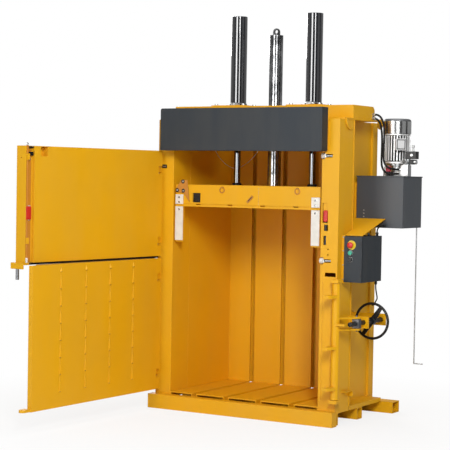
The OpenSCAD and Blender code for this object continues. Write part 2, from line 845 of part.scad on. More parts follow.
module prong(z) {
  wall = 8;
  r0 = arm_len - 52;
  translate([lock_x, lock_y, z]) rotate([0, 0, arm_angle]) difference() {
    union() {
      translate([0, -slot_half - wall, 0]) cube([arm_len, 2 * (slot_half + wall), prong_t]);
      translate([arm_len, 0, 0]) cylinder(r = slot_half + wall, h = prong_t);
    }
    translate([r0, -slot_half, -eps]) cube([arm_len - r0, 2 * slot_half, prong_t + 2 * eps]);
    for (x = [r0, arm_len]) translate([x, 0, -eps]) cylinder(r = slot_half, h = prong_t + 2 * eps);
  }
}

module claw(z) {
  translate([lock_x, lock_y, z]) linear_extrude(20) polygon([
    [-55, -36], [-18, -10], [20, -16], [14, -84], [-6, -104], [-46, -104],
    [-46, -86], [-22, -78], [-26, -50], [-47, -53]
  ]);
}

module lock_shaft() {
  color(yellow) {
    difference() {
      rod_z(lock_x, lock_y, lock_z0, lock_z1, lock_r);
      rod_z(lock_x, lock_y, lock_z0 + 20, lock_z1 - 20, lock_r - 6);
    }
    rod_z(lock_x, lock_y, lock_z0 - 27, lock_z0, journal_r);
    rod_z(lock_x, lock_y, lock_z1, lock_z1 + 27, journal_r);
    for (z = [spindle_z + nut_h / 2 + 2, spindle_z - nut_h / 2 - 2 - prong_t]) prong(z);
    block([lock_x, lock_y - lock_r, spindle_z - 10], [lock_x + 78, lock_y + 22, spindle_z + 4]);
    for (z = [250, 520, 860]) claw(z);
  }
}

module spindle_nut() {
  color(steel) difference() {
    union() {
      block(
        [nut_x - 24, nut_y - 20, spindle_z - nut_h / 2],
        [nut_x + 24, nut_y + 20, spindle_z + nut_h / 2]
      );
      rod_z(nut_x, nut_y, spindle_z - nut_h / 2 - 22, spindle_z + nut_h / 2 + 22, trunnion_r);
    }
    rod_y(nut_x, spindle_z, nut_y - 21, nut_y + 21, spindle_r + fit);
  }
}

wheel_y = 330;
module handwheel() {
  hub = spindle_r + 10;
  color(black) difference() {
    union() {
      translate([nut_x, wheel_y, spindle_z]) rotate([90, 0, 0]) rotate_extrude($fn = 96)
        translate([wheel_r, 0]) circle(r = rim_r);
      rod_y(nut_x, spindle_z, wheel_y - 18, wheel_y + 18, hub);
      for (a = [55, 235]) translate([nut_x, wheel_y - 6, spindle_z]) rotate([0, -a, 0])
        rotate([-90, 0, 0]) linear_extrude(12) polygon([
          [spindle_r, -20], [wheel_r, -13], [wheel_r, 13], [spindle_r, 20]
        ]);
    }
    rod_y(nut_x, spindle_z, wheel_y - 19, wheel_y + 19, spindle_r);
  }
}

module spindle() {
  color(steel) {
    rod_y(nut_x, spindle_z, -8, wheel_y + 182, spindle_r);
    rod_y(nut_x, spindle_z, wheel_y + 158, wheel_y + 170, spindle_r + 8);
  }
}

// Post latch and rollers
module post_latch() {
  color(black) {
    block([latch_x - 8, tube_t + 1, latch_slot_z - 40], [latch_x + 8, tube_t + 9, latch_z]);
    rod_y(latch_x, latch_slot_z, 1, tube_t + 1, 8);
  }
  color(red)
    block([latch_x - grip_w / 2, 0, latch_z - 40], [latch_x + grip_w / 2, tube_t + 18, latch_z + 38]);
}

module roller_pins() {
  color(steel) for (z = roller_zs) {
    rod_x(roller_y, z, half - 12, half + 74, 8);
    rod_x(roller_y, z, half - 14, half - 12, 12);
    block([half + 18, tube_t, z - roller_r - 10], [half + 26, 2 * roller_y, z + roller_r + 10]);
  }
}

module roller(z) {
  color(white) difference() {
    rod_x(roller_y, z, half - 11.5, half + 17.5, roller_r);
    rod_x(roller_y, z, half - 13, half + 19, 8 + fit);
  }
}

module upper_roller() {
  roller(roller_zs[1]);
}

module lower_roller() {
  roller(roller_zs[0]);
}

// Power pack
tank_x0 = skin_x + 30;
tank_x1 = tank_x0 + tank_w;
tank_back_gap = 40;
tank_y0 = back_y - tank_back_gap - tank_d;
tank_y1 = tank_y0 + tank_d;
tank_z0 = 1318;
tank_z1 = tank_z0 + tank_h;
lid_t = 8;
deck_z = tank_z1 + lid_t;
motor_x = tank_x0 + 225;
motor_y = tank_y0 + 155;
motor_z0 = deck_z + 84;
cowl_z0 = motor_z0 + 207;
cowl_z1 = motor_z0 + 314;

module oil_tank() {
  color(dark) difference() {
    block([tank_x0, tank_y0, tank_z0], [tank_x1, tank_y1, tank_z1]);
    block([tank_x0 + 3, tank_y0 + 3, tank_z0 + 3], [tank_x1 - 3, tank_y1 - 3, tank_z1 + eps]);
  }
}

module tank_lid() {
  color(dark) block([tank_x0 - 4, tank_y0 - 4, tank_z1], [tank_x1 + 4, tank_y1 + 4, deck_z]);
}

module pump_block() {
  color(steel) {
    block([motor_x - 70, motor_y - 65, deck_z], [motor_x + 65, motor_y + 65, deck_z + 34]);
    rod_z(motor_x, motor_y, deck_z + 34, motor_z0 - 12, 46);
    rod_z(motor_x, motor_y, motor_z0 - 12, motor_z0, 70);
  }
}

module motor_body() {
  color(steel) {
    rod_z(motor_x, motor_y, motor_z0, cowl_z0, motor_r - 14);
    for (a = [0 : 10 : 350]) translate([motor_x, motor_y, motor_z0 + 12]) rotate([0, 0, a])
      translate([motor_r - 18, -1.5, 0]) cube([18, 3, cowl_z0 - motor_z0 - 22]);
    translate([motor_x, motor_y, motor_z0 + 92]) rotate([0, 0, 37])
      block([-36, -motor_r - 36, 0], [36, -motor_r + 30, 82]);
  }
}

module motor_cowl() {
  color(steel) translate([motor_x, motor_y, cowl_z0]) rotate_extrude() polygon([
    [0, 0], [motor_r + 3, 0], [motor_r + 3, 92], [motor_r - 5, 103], [motor_r - 20, 107], [0, 107]
  ]);
}

stack_x = tank_x1 - 53;
stack_y = tank_y0 + 65;
module valve_stack() {
  color(steel) {
    block([stack_x, stack_y, deck_z], [stack_x + 53, stack_y + 60, deck_z + 76]);
    rod_y(stack_x + 31, deck_z + 99, stack_y - 16, stack_y + 20, 20);
    block([stack_x + 14, stack_y + 8, deck_z + 76], [stack_x + 53, stack_y + 44, deck_z + 118]);
  }
  color(black) {
    block([stack_x + 31, stack_y + 4, deck_z + 118], [stack_x + 110, stack_y + 56, deck_z + 170]);
    block([stack_x + 53, stack_y + 10, deck_z + 80], [stack_x + 110, stack_y + 50, deck_z + 116]);
  }
}

cap_x = tank_x0 + 213;
cap_y = tank_y0 + 50;
module filler_cap() {
  color(white) {
    rod_z(cap_x, cap_y, deck_z, deck_z + 32, 15);
    rod_z(cap_x - 23, cap_y, deck_z, deck_z + 66, 9);
  }
  color(red) rod_z(cap_x, cap_y, deck_z + 32, deck_z + 70, 18);
}

module drain_rod() {
  color(steel) {
    rod_z(tank_x1 - 15, tank_y1 - 40, 366, tank_z0, 4);
    rod_x(tank_y1 - 40, 370, tank_x1 - 15, tank_x1 + 50, 4);
  }
}

box_x0 = outer + 27;
box_x1 = box_x0 + box_w;
box_y0 = 58;
box_y1 = box_y0 + box_d - 8;
box_z0 = 962;
box_z1 = box_z0 + box_h;

module control_box() {
  color(dark) difference() {
    block([box_x0, box_y0, box_z0], [box_x1, box_y1, box_z1]);
    block([box_x0 + 3, box_y0 - eps, box_z0 + 3], [box_x1 - 3, box_y1 - 3, box_z1 - 3]);
  }
}

stop_x = box_x0 + 56;
stop_z = box_z1 - 57;
button_x = box_x0 + 50;
start_z = stop_z - 52;
return_z = start_z - 44;
lid_y = 46;

module control_lid() {
  color(dark) difference() {
    block([box_x0, lid_y, box_z0], [box_x1, box_y0, box_z1]);
    rod_y(stop_x, stop_z, lid_y - eps, box_y0 + eps, 11 + fit);
    for (z = [start_z, return_z]) rod_y(button_x, z, lid_y - eps, box_y0 + eps, 11 + fit);
  }
}

hood_y0 = 100;
hood_y1 = tank_y0 - 4;
hood_z0 = box_z1 + 9;
hood_rise = 104;
hood_x1 = box_x1 - 21;
module hood() {
  t = 3;
  z1 = hood_z0 + hood_rise;
  color(yellow) difference() {
    bar_x([
      [hood_y0, hood_z0 - 7], [hood_y0 + t, hood_z0 - 7], [hood_y0 + t, hood_z0 - t],
      [hood_y1, z1 - t], [hood_y1, z1], [hood_y0, hood_z0]
    ], skin_x, hood_x1);
    block([skin_x - eps, 0, hood_z0 - 20], [outer + band_t, post_d + flange_t, z1 + eps]);
  }
}

module stop_collar() {
  color("#e8c820") difference() {
    rod_y(stop_x, stop_z, lid_y - 3, lid_y, 31);
    rod_y(stop_x, stop_z, lid_y - 4, lid_y + eps, 11 + fit);
  }
}

module push_button(x, z, reach, r) {
  rod_y(x, z, lid_y - reach, lid_y - reach + 9, r);
  rod_y(x, z, lid_y - reach + 9, box_y0 + 8, 11);
}

module stop_button() {
  color(red) {
    rod_y(stop_x, stop_z, lid_y - 34, lid_y - 18, 21);
    rod_y(stop_x, stop_z, lid_y - 18, box_y0 + 8, 11);
  }
}

module start_button() {
  color("#2aa79b") push_button(button_x, start_z, 15, 15);
}

module return_button() {
  color(black) push_button(button_x, return_z, 15, 15);
}

// Cords: the routes are set by hand
hose_r = 7;
hose_a_path = [
  [715, 505, 2094], [738, 507, 2096], [765, 507, 2086], [786, 506, 2062], [799, 504, 2025],
  [805, 502, 1980], [807, 499, 1930], [808, 494, 1870], [811, 486, 1815], [820, 475, 1772],
  [838, 466, 1744], [864, 480, 1728], [886, 500, 1722], [907, 518, 1720], [927, 530, 1720]
];
hose_b_path = [
  [715, 503, 2070], [734, 505, 2070], [754, 508, 2058], [769, 511, 2034], [778, 512, 2000],
  [783, 512, 1960], [786, 510, 1900], [788, 504, 1840], [793, 492, 1785], [806, 474, 1740],
  [830, 463, 1706], [858, 468, 1692], [884, 488, 1690], [906, 511, 1690], [927, 528, 1690]
];
cable_r = 4.5;
box_cable_path = [
  [848, 330, 1293], [848, 330, 1302], [849, 336, 1314], [850, 350, 1323], [850, 372, 1329],
  [850, 398, 1332], [850, 425, 1332]
];
lock_cable_path = [
  [850, 320, 937], [850, 321, 915], [848, 333, 889], [836, 370, 860], [805, 440, 832],
  [762, 510, 806], [715, 590, 782], [672, 665, 766], [645, 722, 760], [637, 760, 760],
  [630, 762, 760]
];
loop_r = 2.5;
loop_cable_path = [
  [-548, 480, 1860], [-544, 480, 1845], [-510, 480, 1795], [-462, 480, 1750], [-412, 480, 1722],
  [-366, 480, 1713], [-318, 480, 1726], [-262, 480, 1758], [-212, 480, 1802], [-178, 480, 1846],
  [-174, 480, 1860]
];

module hose_a() {
  color(black) cord_tube(hose_a_path, hose_r, [0, 1, 0], 3, 8);
}

module hose_b() {
  color(black) cord_tube(hose_b_path, hose_r, [0, 1, 0], 3, 8);
}

module box_cable() {
  color(black) cord_tube(box_cable_path, cable_r, [1, 0, 0], 3, 8);
}

module lock_cable() {
  color(black) cord_tube(lock_cable_path, cable_r, [1, 1, 0], 3, 8);
}

module loop_cable() {
  color(white) cord_tube(loop_cable_path, loop_r, [0, 1, 0], 4, 8);
}

gland_r = 10;
gland_h = 25;
gland_x = box_x1 - 27;
module cable_glands() {
  color(black) {
    rod_z(gland_x, box_y1 - 20, box_z1, box_z1 + gland_h, gland_r);
    rod_z(gland_x, box_y1 - 150, box_z1, box_z1 + gland_h - 3, gland_r);
    rod_z(gland_x + 2, box_y1 - 30, box_z0 - gland_h, box_z0, gland_r);
    rod_y(gland_x + 2, tank_z0 + 14, tank_y0 - gland_h, tank_y0, gland_r);
    rod_x(back_y - 38, 760, skin_x + rear_bar_t, skin_x + rear_bar_t + 15, gland_r);
  }
}

left_post();
right_post();
side_walls();
back_wall();
strap_channels();
floor_planks();
base_beams();
head_plate();
head_beam();
front_crossbeam();
small_brackets();
front_cover();
barrels();
cylinder_flanges();
flange_bolts();
guide_bush();
hinge_brackets();
hinge_pins();
lock_brackets();
roller_pins();
upper_roller();
lower_roller();
oil_tank();
tank_lid();
pump_block();
motor_body();
motor_cowl();
valve_stack();
filler_cap();
drain_rod();
hood();
control_box();
control_lid();
stop_collar();
stop_button();
start_button();
return_button();
cable_glands();
hose_a();
hose_b();
box_cable();
lock_cable();
loop_cable();
upper_door();
upper_hardware();
door_pin();
drop_bolt();
lower_door();
strap_guides();
ram_platen();
ram_frame();
ram_fittings();
wear_blocks();
piston_rods();
guide_column();
post_latch();
lock_shaft();
spindle_nut();
spindle();
handwheel();
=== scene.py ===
# %% [markdown]
# # A recycling baler, dressed for its picture
# The machine is a tall press with two doors that open to one side. Its solids were drawn
# in a CAD program and arrive here as a frame of named nodes in metres. This lesson gives
# them paint, steel, rubber and plastic, and swaps the plainest solids for finer pieces.

# %% Load the frame
import bpy
import bmesh
import json
import math
from mathutils import Matrix, Vector

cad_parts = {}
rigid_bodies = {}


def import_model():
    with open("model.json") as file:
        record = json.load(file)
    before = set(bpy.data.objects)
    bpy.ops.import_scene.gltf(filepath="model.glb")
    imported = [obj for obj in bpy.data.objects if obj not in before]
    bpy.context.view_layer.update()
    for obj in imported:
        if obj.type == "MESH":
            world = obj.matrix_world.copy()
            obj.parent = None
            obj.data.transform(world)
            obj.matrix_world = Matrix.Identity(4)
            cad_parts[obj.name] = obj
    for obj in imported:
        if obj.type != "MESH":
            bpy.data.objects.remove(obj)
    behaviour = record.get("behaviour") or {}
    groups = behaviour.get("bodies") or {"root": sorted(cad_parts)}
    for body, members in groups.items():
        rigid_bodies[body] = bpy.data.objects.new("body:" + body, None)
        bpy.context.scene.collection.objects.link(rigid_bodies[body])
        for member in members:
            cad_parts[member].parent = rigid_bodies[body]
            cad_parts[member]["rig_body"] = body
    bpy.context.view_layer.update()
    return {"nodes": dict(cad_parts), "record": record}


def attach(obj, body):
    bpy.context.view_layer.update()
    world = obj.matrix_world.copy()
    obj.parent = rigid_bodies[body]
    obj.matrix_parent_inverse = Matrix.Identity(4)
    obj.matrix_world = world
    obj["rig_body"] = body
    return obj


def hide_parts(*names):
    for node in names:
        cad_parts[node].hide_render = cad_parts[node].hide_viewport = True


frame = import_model()
nodes = frame["nodes"]

# %% [markdown]
# ## The camera
# The picture was taken from the front right of the machine at about head height. The camera
# could be dragged until it looks right, but here it is placed by numbers that were fitted
# to the corners of the posts and doors: a place, a turn, a slight look down and a slight
# roll. The lens is a long one, which keeps the tall posts nearly parallel.

# %% Place the camera
CAMERA_AT = (5.157, -8.770, 1.645)
TURN = math.radians(31.22)
LOOK_DOWN = math.radians(1.84)
ROLL = math.radians(0.97)
SENSOR_WIDTH = 36.0
LENS = 118.32
camera_data = bpy.data.cameras.new("camera")
camera_data.sensor_width = SENSOR_WIDTH
camera_data.lens = LENS
camera = bpy.data.objects.new("camera", camera_data)
bpy.context.scene.collection.objects.link(camera)
camera.matrix_world = (
    Matrix.Translation(CAMERA_AT)
    @ Matrix.Rotation(TURN, 4, "Z")
    @ Matrix.Rotation(math.radians(90) - LOOK_DOWN, 4, "X")
    @ Matrix.Rotation(ROLL, 4, "Z")
)
bpy.context.scene.camera = camera
print("camera looks along", (camera.matrix_world.to_3x3() @ Vector((0, 0, -1)))[:])

# %% [markdown]
# ## Shader sums as plain sums
# A worn paint is mostly arithmetic on noise. Adding a Math node by hand for each sum is
# slow to read, so a small class wraps a socket and turns Python's operators into nodes.
# Colours must not go through Math nodes, which turn them grey, so they are mixed by a Mix
# node, and every node of a tree is added by one method.


# %% A socket that can be added and multiplied
class Wire:
    def __init__(self, web, socket):
        self.web = web
        self.socket = socket

    def maths(self, operation, first, second, clamp=False):
        settings = {"operation": operation, "use_clamp": clamp}
        return self.web.node("ShaderNodeMath", settings, {0: first, 1: second}).out("Value")

    def __add__(self, other):
        return self.maths("ADD", self, other)

    def __sub__(self, other):
        return self.maths("SUBTRACT", self, other)

    def __rsub__(self, other):
        return self.maths("SUBTRACT", other, self)

    def __mul__(self, other):
        return self.maths("MULTIPLY", self, other)

    def clamped(self):
        return self.maths("ADD", self, 0.0, clamp=True)

    def or_larger(self, other):
        return self.maths("MAXIMUM", self, other)

    __radd__ = __add__
    __rmul__ = __mul__


class Node:
    def __init__(self, web, node):
        self.web = web
        self.node = node

    def out(self, name):
        return Wire(self.web, self.node.outputs[name])


# %% A node tree with one way to add a node
class Web:
    def __init__(self, tree):
        self.tree = tree

    def feed(self, socket, value):
        if isinstance(value, Wire):
            self.tree.links.new(value.socket, socket)
        else:
            socket.default_value = value

    def node(self, kind, settings=None, inputs=None):
        added = self.tree.nodes.new(kind)
        for name, value in (settings or {}).items():
            setattr(added, name, value)
        for name, value in (inputs or {}).items():
            self.feed(added.inputs[name], value)
        return Node(self, added)

    def vector(self, operation, first, second=None, result="Vector"):
        inputs = {0: first} if second is None else {0: first, 1: second}
        return self.node("ShaderNodeVectorMath", {"operation": operation}, inputs).out(result)

    def mix(self, factor, first, second):
        inputs = {0: factor, 6: first, 7: second}
        return self.node("ShaderNodeMix", {"data_type": "RGBA"}, inputs).out(2)

    def ramp(self, value, *stops):
        """Greys by level: each stop is a place on the ramp and the shade it has there."""
        added = self.node("ShaderNodeValToRGB", {}, {"Fac": value})
        for element, (where, shade) in zip(added.node.color_ramp.elements, stops):
            element.position = where
            element.color = (shade, shade, shade, 1.0)
        return added.out("Color")


# %% A finish: a material that reads the object's own coordinates
class Finish(Web):
    def __init__(self, name, metallic=0.0, coat=0.0, specular=0.5):
        self.material = bpy.data.materials.new(name)
        self.material.use_nodes = True
        super().__init__(self.material.node_tree)
        self.shader = self.tree.nodes["Principled BSDF"]
        self.set(Metallic=metallic, Coat_Weight=coat, Coat_Roughness=0.03,
                 Specular_IOR_Level=specular)
        self.place = self.node("ShaderNodeTexCoord").out("Object")

    def set(self, **values):
        for name, value in values.items():
            self.feed(self.shader.inputs[name.replace("_", " ")], value)

    def noise(self, scale, detail=4.0, roughness=0.55, stretch=None, lean=0.0):
        place = self.place
        if stretch is not None:
            turned = {"Vector": place, "Rotation": (0.0, lean, 0.0), "Scale": stretch}
            place = self.node("ShaderNodeMapping", {}, turned).out("Vector")
        inputs = {"Vector": place, "Scale": scale, "Detail": detail, "Roughness": roughness}
        return self.node("ShaderNodeTexNoise", {}, inputs).out("Fac")

    def rounded(self, radius):
        """A normal that rounds the edges, or none on a mirror-smooth turned part."""
        if radius == 0.0:
            return None
        return self.node("ShaderNodeBevel", {"samples": 4}, {"Radius": radius}).out("Normal")

    def edges(self, rounded):
        """A mask of the edges: how far the rounded normal leaves the flat one."""
        if rounded is None:
            return 0.0
        flat = self.node("ShaderNodeNewGeometry").out("Normal")
        return 1.0 - self.vector("DOT_PRODUCT", rounded, flat, "Value")

    def bump(self, height, distance, strength=1.0, normal=None):
        inputs = {"Height": height, "Distance": distance, "Strength": strength}
        if normal is not None:
            inputs["Normal"] = normal
        return self.node("ShaderNodeBump", {}, inputs).out("Normal")


# %% Colours
def rgb(red, green, blue):
    """A colour written in the 0 to 255 of a screen, made linear for the shader."""
    line = [c / 255.0 for c in (red, green, blue)]
    return tuple(c / 12.92 if c <= 0.04045 else ((c + 0.055) / 1.055) ** 2.4 for c in line) + (1.0,)


def deeper(colour, share):
    """The same colour with a share of its light."""
    return tuple(c * share for c in colour[:3]) + (1.0,)


print("a screen grey of 128 is", round(rgb(128, 128, 128)[0], 3))

# %% [markdown]
# ## Paint
# The panels are powder coated: one even colour with a very fine orange-peel skin. What
# tells it from plastic is small: large soft clouds in tone where the coat is thicker, a
# dull film of dust in upright streaks, and edges that have been rubbed until the coat is
# thin. The Bevel node finds the edges and rounds them as well. The cylinders have a glossy
# enamel instead, under a clear coat that mirrors the lamps. Radii and the heights of bumps
# are in metres.


# %% Powder coat on sheet steel
DUST = rgb(196, 176, 140)


def paint(name, colour, worn, rough=0.36, chips=0.5, peel=0.00012, dust=0.06, specular=0.30,
          spread=0.10, clear=0.0, round_to=0.0025):
    coat = Finish(name, coat=clear, specular=specular)
    clouds = coat.noise(1.7, 3.0)
    streaks = coat.noise(6.0, 5.0, 0.6, stretch=(1.0, 1.0, 0.18))
    grit = coat.noise(38.0, 6.0, 0.65)
    skin = coat.noise(520.0, 2.0, 0.5)
    rounded = coat.rounded(round_to)
    thick = coat.ramp(clouds, (0.35, 0.0), (0.65, 1.0)) * 0.35
    film = coat.ramp(streaks * 0.6 + clouds * 0.4, (0.42, 0.0), (0.72, 1.0)) * dust
    rubbed = coat.edges(rounded) * 5.0 + grit * 0.55
    bare = coat.ramp(rubbed, (0.62, 0.0), (0.86, 1.0)) * chips
    base = coat.mix(thick, colour, deeper(colour, 0.86))
    base = coat.mix(film, base, DUST)
    coat.set(
        Base_Color=coat.mix(bare, base, worn),
        Roughness=(rough + spread * grit + film * 0.6 + bare * 0.12).clamped(),
        Normal=coat.bump(skin, peel, 0.7, rounded),
    )
    return coat.material


# %% The machine's paints
yellow = paint("yellow_powder_coat", rgb(233, 174, 19), rgb(206, 150, 60), specular=0.18)
grey = paint("slate_powder_coat", rgb(44, 51, 58), rgb(84, 88, 92), rough=0.46, dust=0.04,
             specular=0.22)
black = paint("black_enamel", rgb(20, 21, 23), rgb(70, 70, 70), rough=0.30, dust=0.04)
gloss_black = paint("gloss_black_enamel", rgb(34, 36, 41), rgb(60, 60, 60), rough=0.04,
                    chips=0.3, peel=0.0000004, dust=0.004, specular=0.95, spread=0.02,
                    clear=1.0, round_to=0.0)
tank_grey = paint("tank_powder_coat", rgb(74, 79, 85), rgb(96, 97, 99), rough=0.42, dust=0.04)
# A darker, rubbed yellow for the ram's fittings: wear, and a painted shade that sets them off the
# ram.
shade_dark_worn_yellow = paint("rubbed_and_shade_dark_yellow_paint", rgb(196, 132, 44), rgb(120, 96, 70), rough=0.5,
                    chips=1.0, peel=0.0002, dust=0.25)
# Darker orange paint for the drop bolt and the channel's liner: grease, and in the channel a
# painted shade.
greasy_shade_yellow = paint("grease_and_shade_yellow_paint", rgb(203, 130, 20), rgb(150, 100, 50), rough=0.42,
                      chips=0.6, peel=0.0002, dust=0.12)
print("paints:", yellow.name, grey.name, black.name, gloss_black.name)

# %% [markdown]
# ## Steel
# The piston rods are ground and chromed, so they are bright with hair-fine rings round
# them. The guide column is darker, with a film of oil wiped along it at a slant. Fittings
# are zinc plated: duller, with pale and dark crystals. These are fully metallic, so the
# colour of the reflection is the colour of the metal, and only roughness and tone vary.
# The chrome's roughness starts below zero, because both noises add to it. Cast aluminium
# has a dull skin, which a half metallic value shows, and the roots between the motor's fins
# are painted black, a painted shade between the fins. That painted shade follows the
# distance from the motor's axis, which is read from the frame. Turned parts that mirror
# like glass have no Bevel node, because it would draw each facet of the mesh as a line.


# %% The motor's axis, from its cowl
def middle(name):
    """The middle of a solid's box in millimetres, to the nearest tenth."""
    places = [vertex.co for vertex in nodes[name].data.vertices]
    return tuple(round(500.0 * (min(line) + max(line)), 1) for line in zip(*places))


MOTOR = (*middle("motor_cowl")[:2], 0.0)
print("the motor's axis is at", MOTOR)


# %% Bright steel, plated steel and cast aluminium
def shade_between_fins(metal, base):
    """Blackens what lies close to the motor's axis: a painted shade between the fins."""
    away = metal.vector("SUBTRACT", metal.place, [part / 1000.0 for part in MOTOR])
    level = metal.vector("MULTIPLY", away, (1.0, 1.0, 0.0))
    out = metal.vector("LENGTH", level, result="Value")
    unshaded = metal.ramp((out - 0.078) * 60.0, (0.15, 0.0), (0.72, 1.0))
    return metal.mix(unshaded, rgb(30, 30, 31), base)


def steel(name, tone, rough, grain, stretch=(1.0, 1.0, 1.0), dark=0.72, metallic=1.0, lean=0.0,
          ridge=0.00012, finned=False, round_to=0.0012):
    metal = Finish(name, metallic=metallic)
    rings = metal.noise(grain, 4.0, 0.6, stretch=stretch, lean=lean)
    smear = metal.noise(9.0, 4.0)
    cloudy = metal.ramp(rings * 0.5 + smear * 0.5, (0.36, 0.0), (0.66, 1.0))
    base = metal.mix(cloudy, deeper(tone, dark), tone)
    metal.set(
        Base_Color=shade_between_fins(metal, base) if finned else base,
        Roughness=(rough + 0.16 * smear + 0.10 * rings).clamped(),
        Normal=metal.bump(rings, ridge, 0.5, metal.rounded(round_to)),
    )
    return metal.material


# %% The machine's metals
chrome = steel("ground_chrome", rgb(128, 130, 134), -0.09, 30.0, (1.0, 1.0, 22.0),
               ridge=0.000004, round_to=0.0)
dark_steel = steel("oiled_dark_steel", rgb(188, 189, 191), 0.06, 60.0, (2.4, 2.4, 0.7), 0.12,
                   lean=0.7, ridge=0.00006, round_to=0.0)
cowl_metal = steel("polished_cowl", rgb(220, 221, 221), 0.08, 14.0, (1.0, 1.0, 0.2), 0.7,
                   ridge=0.00003, round_to=0.0)
zinc = steel("zinc_plate", rgb(196, 198, 198), 0.26, 220.0)
dull_steel = steel("dull_steel", rgb(122, 123, 125), 0.42, 160.0, dark=0.8)
cast_alloy = steel("cast_aluminium", rgb(240, 241, 241), 0.30, 160.0, dark=0.84, metallic=0.5)
# finned=True blackens the roots of the fins: a painted shade between them.
finned_alloy = steel("finned_cast_aluminium", rgb(244, 245, 245), 0.28, 160.0, dark=0.84,
                     metallic=0.5, finned=True)
pale_alloy = steel("painted_cast_lid", rgb(196, 197, 198), 0.40, 160.0, dark=0.86, metallic=0.3)
print("metals:", chrome.name, zinc.name, cast_alloy.name, dark_steel.name)

# %% [markdown]
# ## Plastic and rubber
# Moulded grips and buttons have a fine spark-eroded grain and go pale where hands rub
# their edges. Hose rubber is darker and duller, with a coarser grain from the cloth that
# it was wrapped in, so the same function makes both from other numbers.


# %% Moulded plastic and hose rubber
def plastic(name, colour, rough=0.40, grain=900.0, depth=0.00010, fade=0.35, specular=0.45):
    skin = Finish(name, specular=specular)
    rounded = skin.rounded(0.0018)
    grit = skin.noise(60.0, 5.0, 0.6)
    handled = skin.edges(rounded) * 4.0 + grit * 0.5
    rubbed = skin.ramp(handled, (0.50, 0.0), (0.90, 1.0)) * fade
    pale = tuple(min(1.0, c * 1.35 + 0.03) for c in colour[:3]) + (1.0,)
    clouds = skin.ramp(skin.noise(14.0, 3.0), (0.35, 0.0), (0.65, 1.0))
    base = skin.mix(clouds, deeper(colour, 0.88), colour)
    skin.set(
        Base_Color=skin.mix(rubbed, base, pale),
        Roughness=(rough + 0.16 * grit - rubbed * 0.2).clamped(),
        Normal=skin.bump(skin.noise(grain, 2.0), depth, 0.6, rounded),
    )
    return skin.material


# %% The machine's mouldings and rubber
red = plastic("red_moulding", rgb(206, 34, 24), 0.30)
faded_red = plastic("faded_red_moulding", rgb(186, 50, 70), 0.34)
green = plastic("teal_moulding", rgb(52, 176, 146), 0.30)
bright_yellow = plastic("yellow_moulding", rgb(238, 206, 40), 0.34)
white = plastic("white_nylon", rgb(232, 231, 226), 0.42)
black_plastic = plastic("black_moulding", rgb(26, 27, 28), 0.40)
rubber = plastic("hose_rubber", rgb(9, 9, 10), 0.55, grain=420.0, depth=0.0003, fade=0.03,
                 specular=0.25)
pale_sheath = plastic("pale_cable_sheath", rgb(246, 245, 240), 0.32)
print("materials so far:", len(bpy.data.materials))

# %% [markdown]
# ## Every solid gets its finish
# The record names a material slot for each node. A few solids have a finer finish than
# their slot, such as the glossy cylinders, and a second table names those.

# %% Dress the solids
SLOTS = {
    "yellow_paint": yellow,
    "dark_paint": grey,
    "bright_steel": zinc,
    "motor_aluminium": cast_alloy,
    "white_plastic": white,
    "red_plastic": red,
    "green_plastic": green,
    "black_plastic": black_plastic,
    "yellow_plastic": bright_yellow,
    "black_rubber": rubber,
    "pale_cable": pale_sheath,
    "black_paint": black,
}
slot_of = {part["node"]: part["material_slot"] for part in frame["record"]["subparts"]}
FINER = {"piston_rods": chrome, "guide_column": dark_steel, "barrels": gloss_black,
         "spindle": black, "spindle_nut": dull_steel, "door_pin": dull_steel,
         "oil_tank": tank_grey, "tank_lid": tank_grey}
for name, solid in nodes.items():
    solid.data.materials.clear()
    solid.data.materials.append(FINER.get(name, SLOTS[slot_of[name]]))
print("dressed", len(nodes), "solids from", len(SLOTS), "slots")

# %% [markdown]
# ## Gathering a piece from shaped parts
# A motor or a valve is many small parts that never move against each other, so each is
# shaped by itself and gathered into one mesh. All parts are written in millimetres, as
# on a workshop drawing, and the whole is made metres at the end. Blocks and rods have
# their sharp edges rounded by a true bevel, and a turned part has its roundings in its
# outline, because no real part has a knife edge and the highlight along the edge is what
# makes steel look like steel.


# %% Round the sharp edges of a part
def ease_edges(part, width, steps=2, angle=40.0):
    limit = math.radians(angle)
    sharp = [e for e in part.edges if len(e.link_faces) == 2 and e.calc_face_angle() > limit]
    if sharp and width > 0.0:
        bmesh.ops.bevel(part, geom=sharp, offset=width, offset_type="OFFSET", segments=steps,
                        profile=0.5, affect="EDGES", clamp_overlap=True, material=-1)


def bar(sides, radius, height):
    """An upright bar round the origin, with its flat ends closed."""
    part = bmesh.new()
    bmesh.ops.create_cone(part, cap_ends=True, segments=sides, radius1=radius, radius2=radius,
                          depth=height)
    return part


# %% Which way a part faces, and two plain outlines
FACING = {
    "up": Matrix.Identity(4),
    "down": Matrix.Rotation(math.pi, 4, "X"),
    "front": Matrix.Rotation(math.pi / 2, 4, "X"),
    "right": Matrix.Rotation(math.pi / 2, 4, "Y"),
}


def disc(radius, low, high):
    return [(0, low), (radius, low), (radius, high), (0, high)]


def bush(inner, outer, low, high):
    return [(inner, low), (outer, low), (outer, high), (inner, high), (inner, low)]


print("parts can face:", ", ".join(FACING))


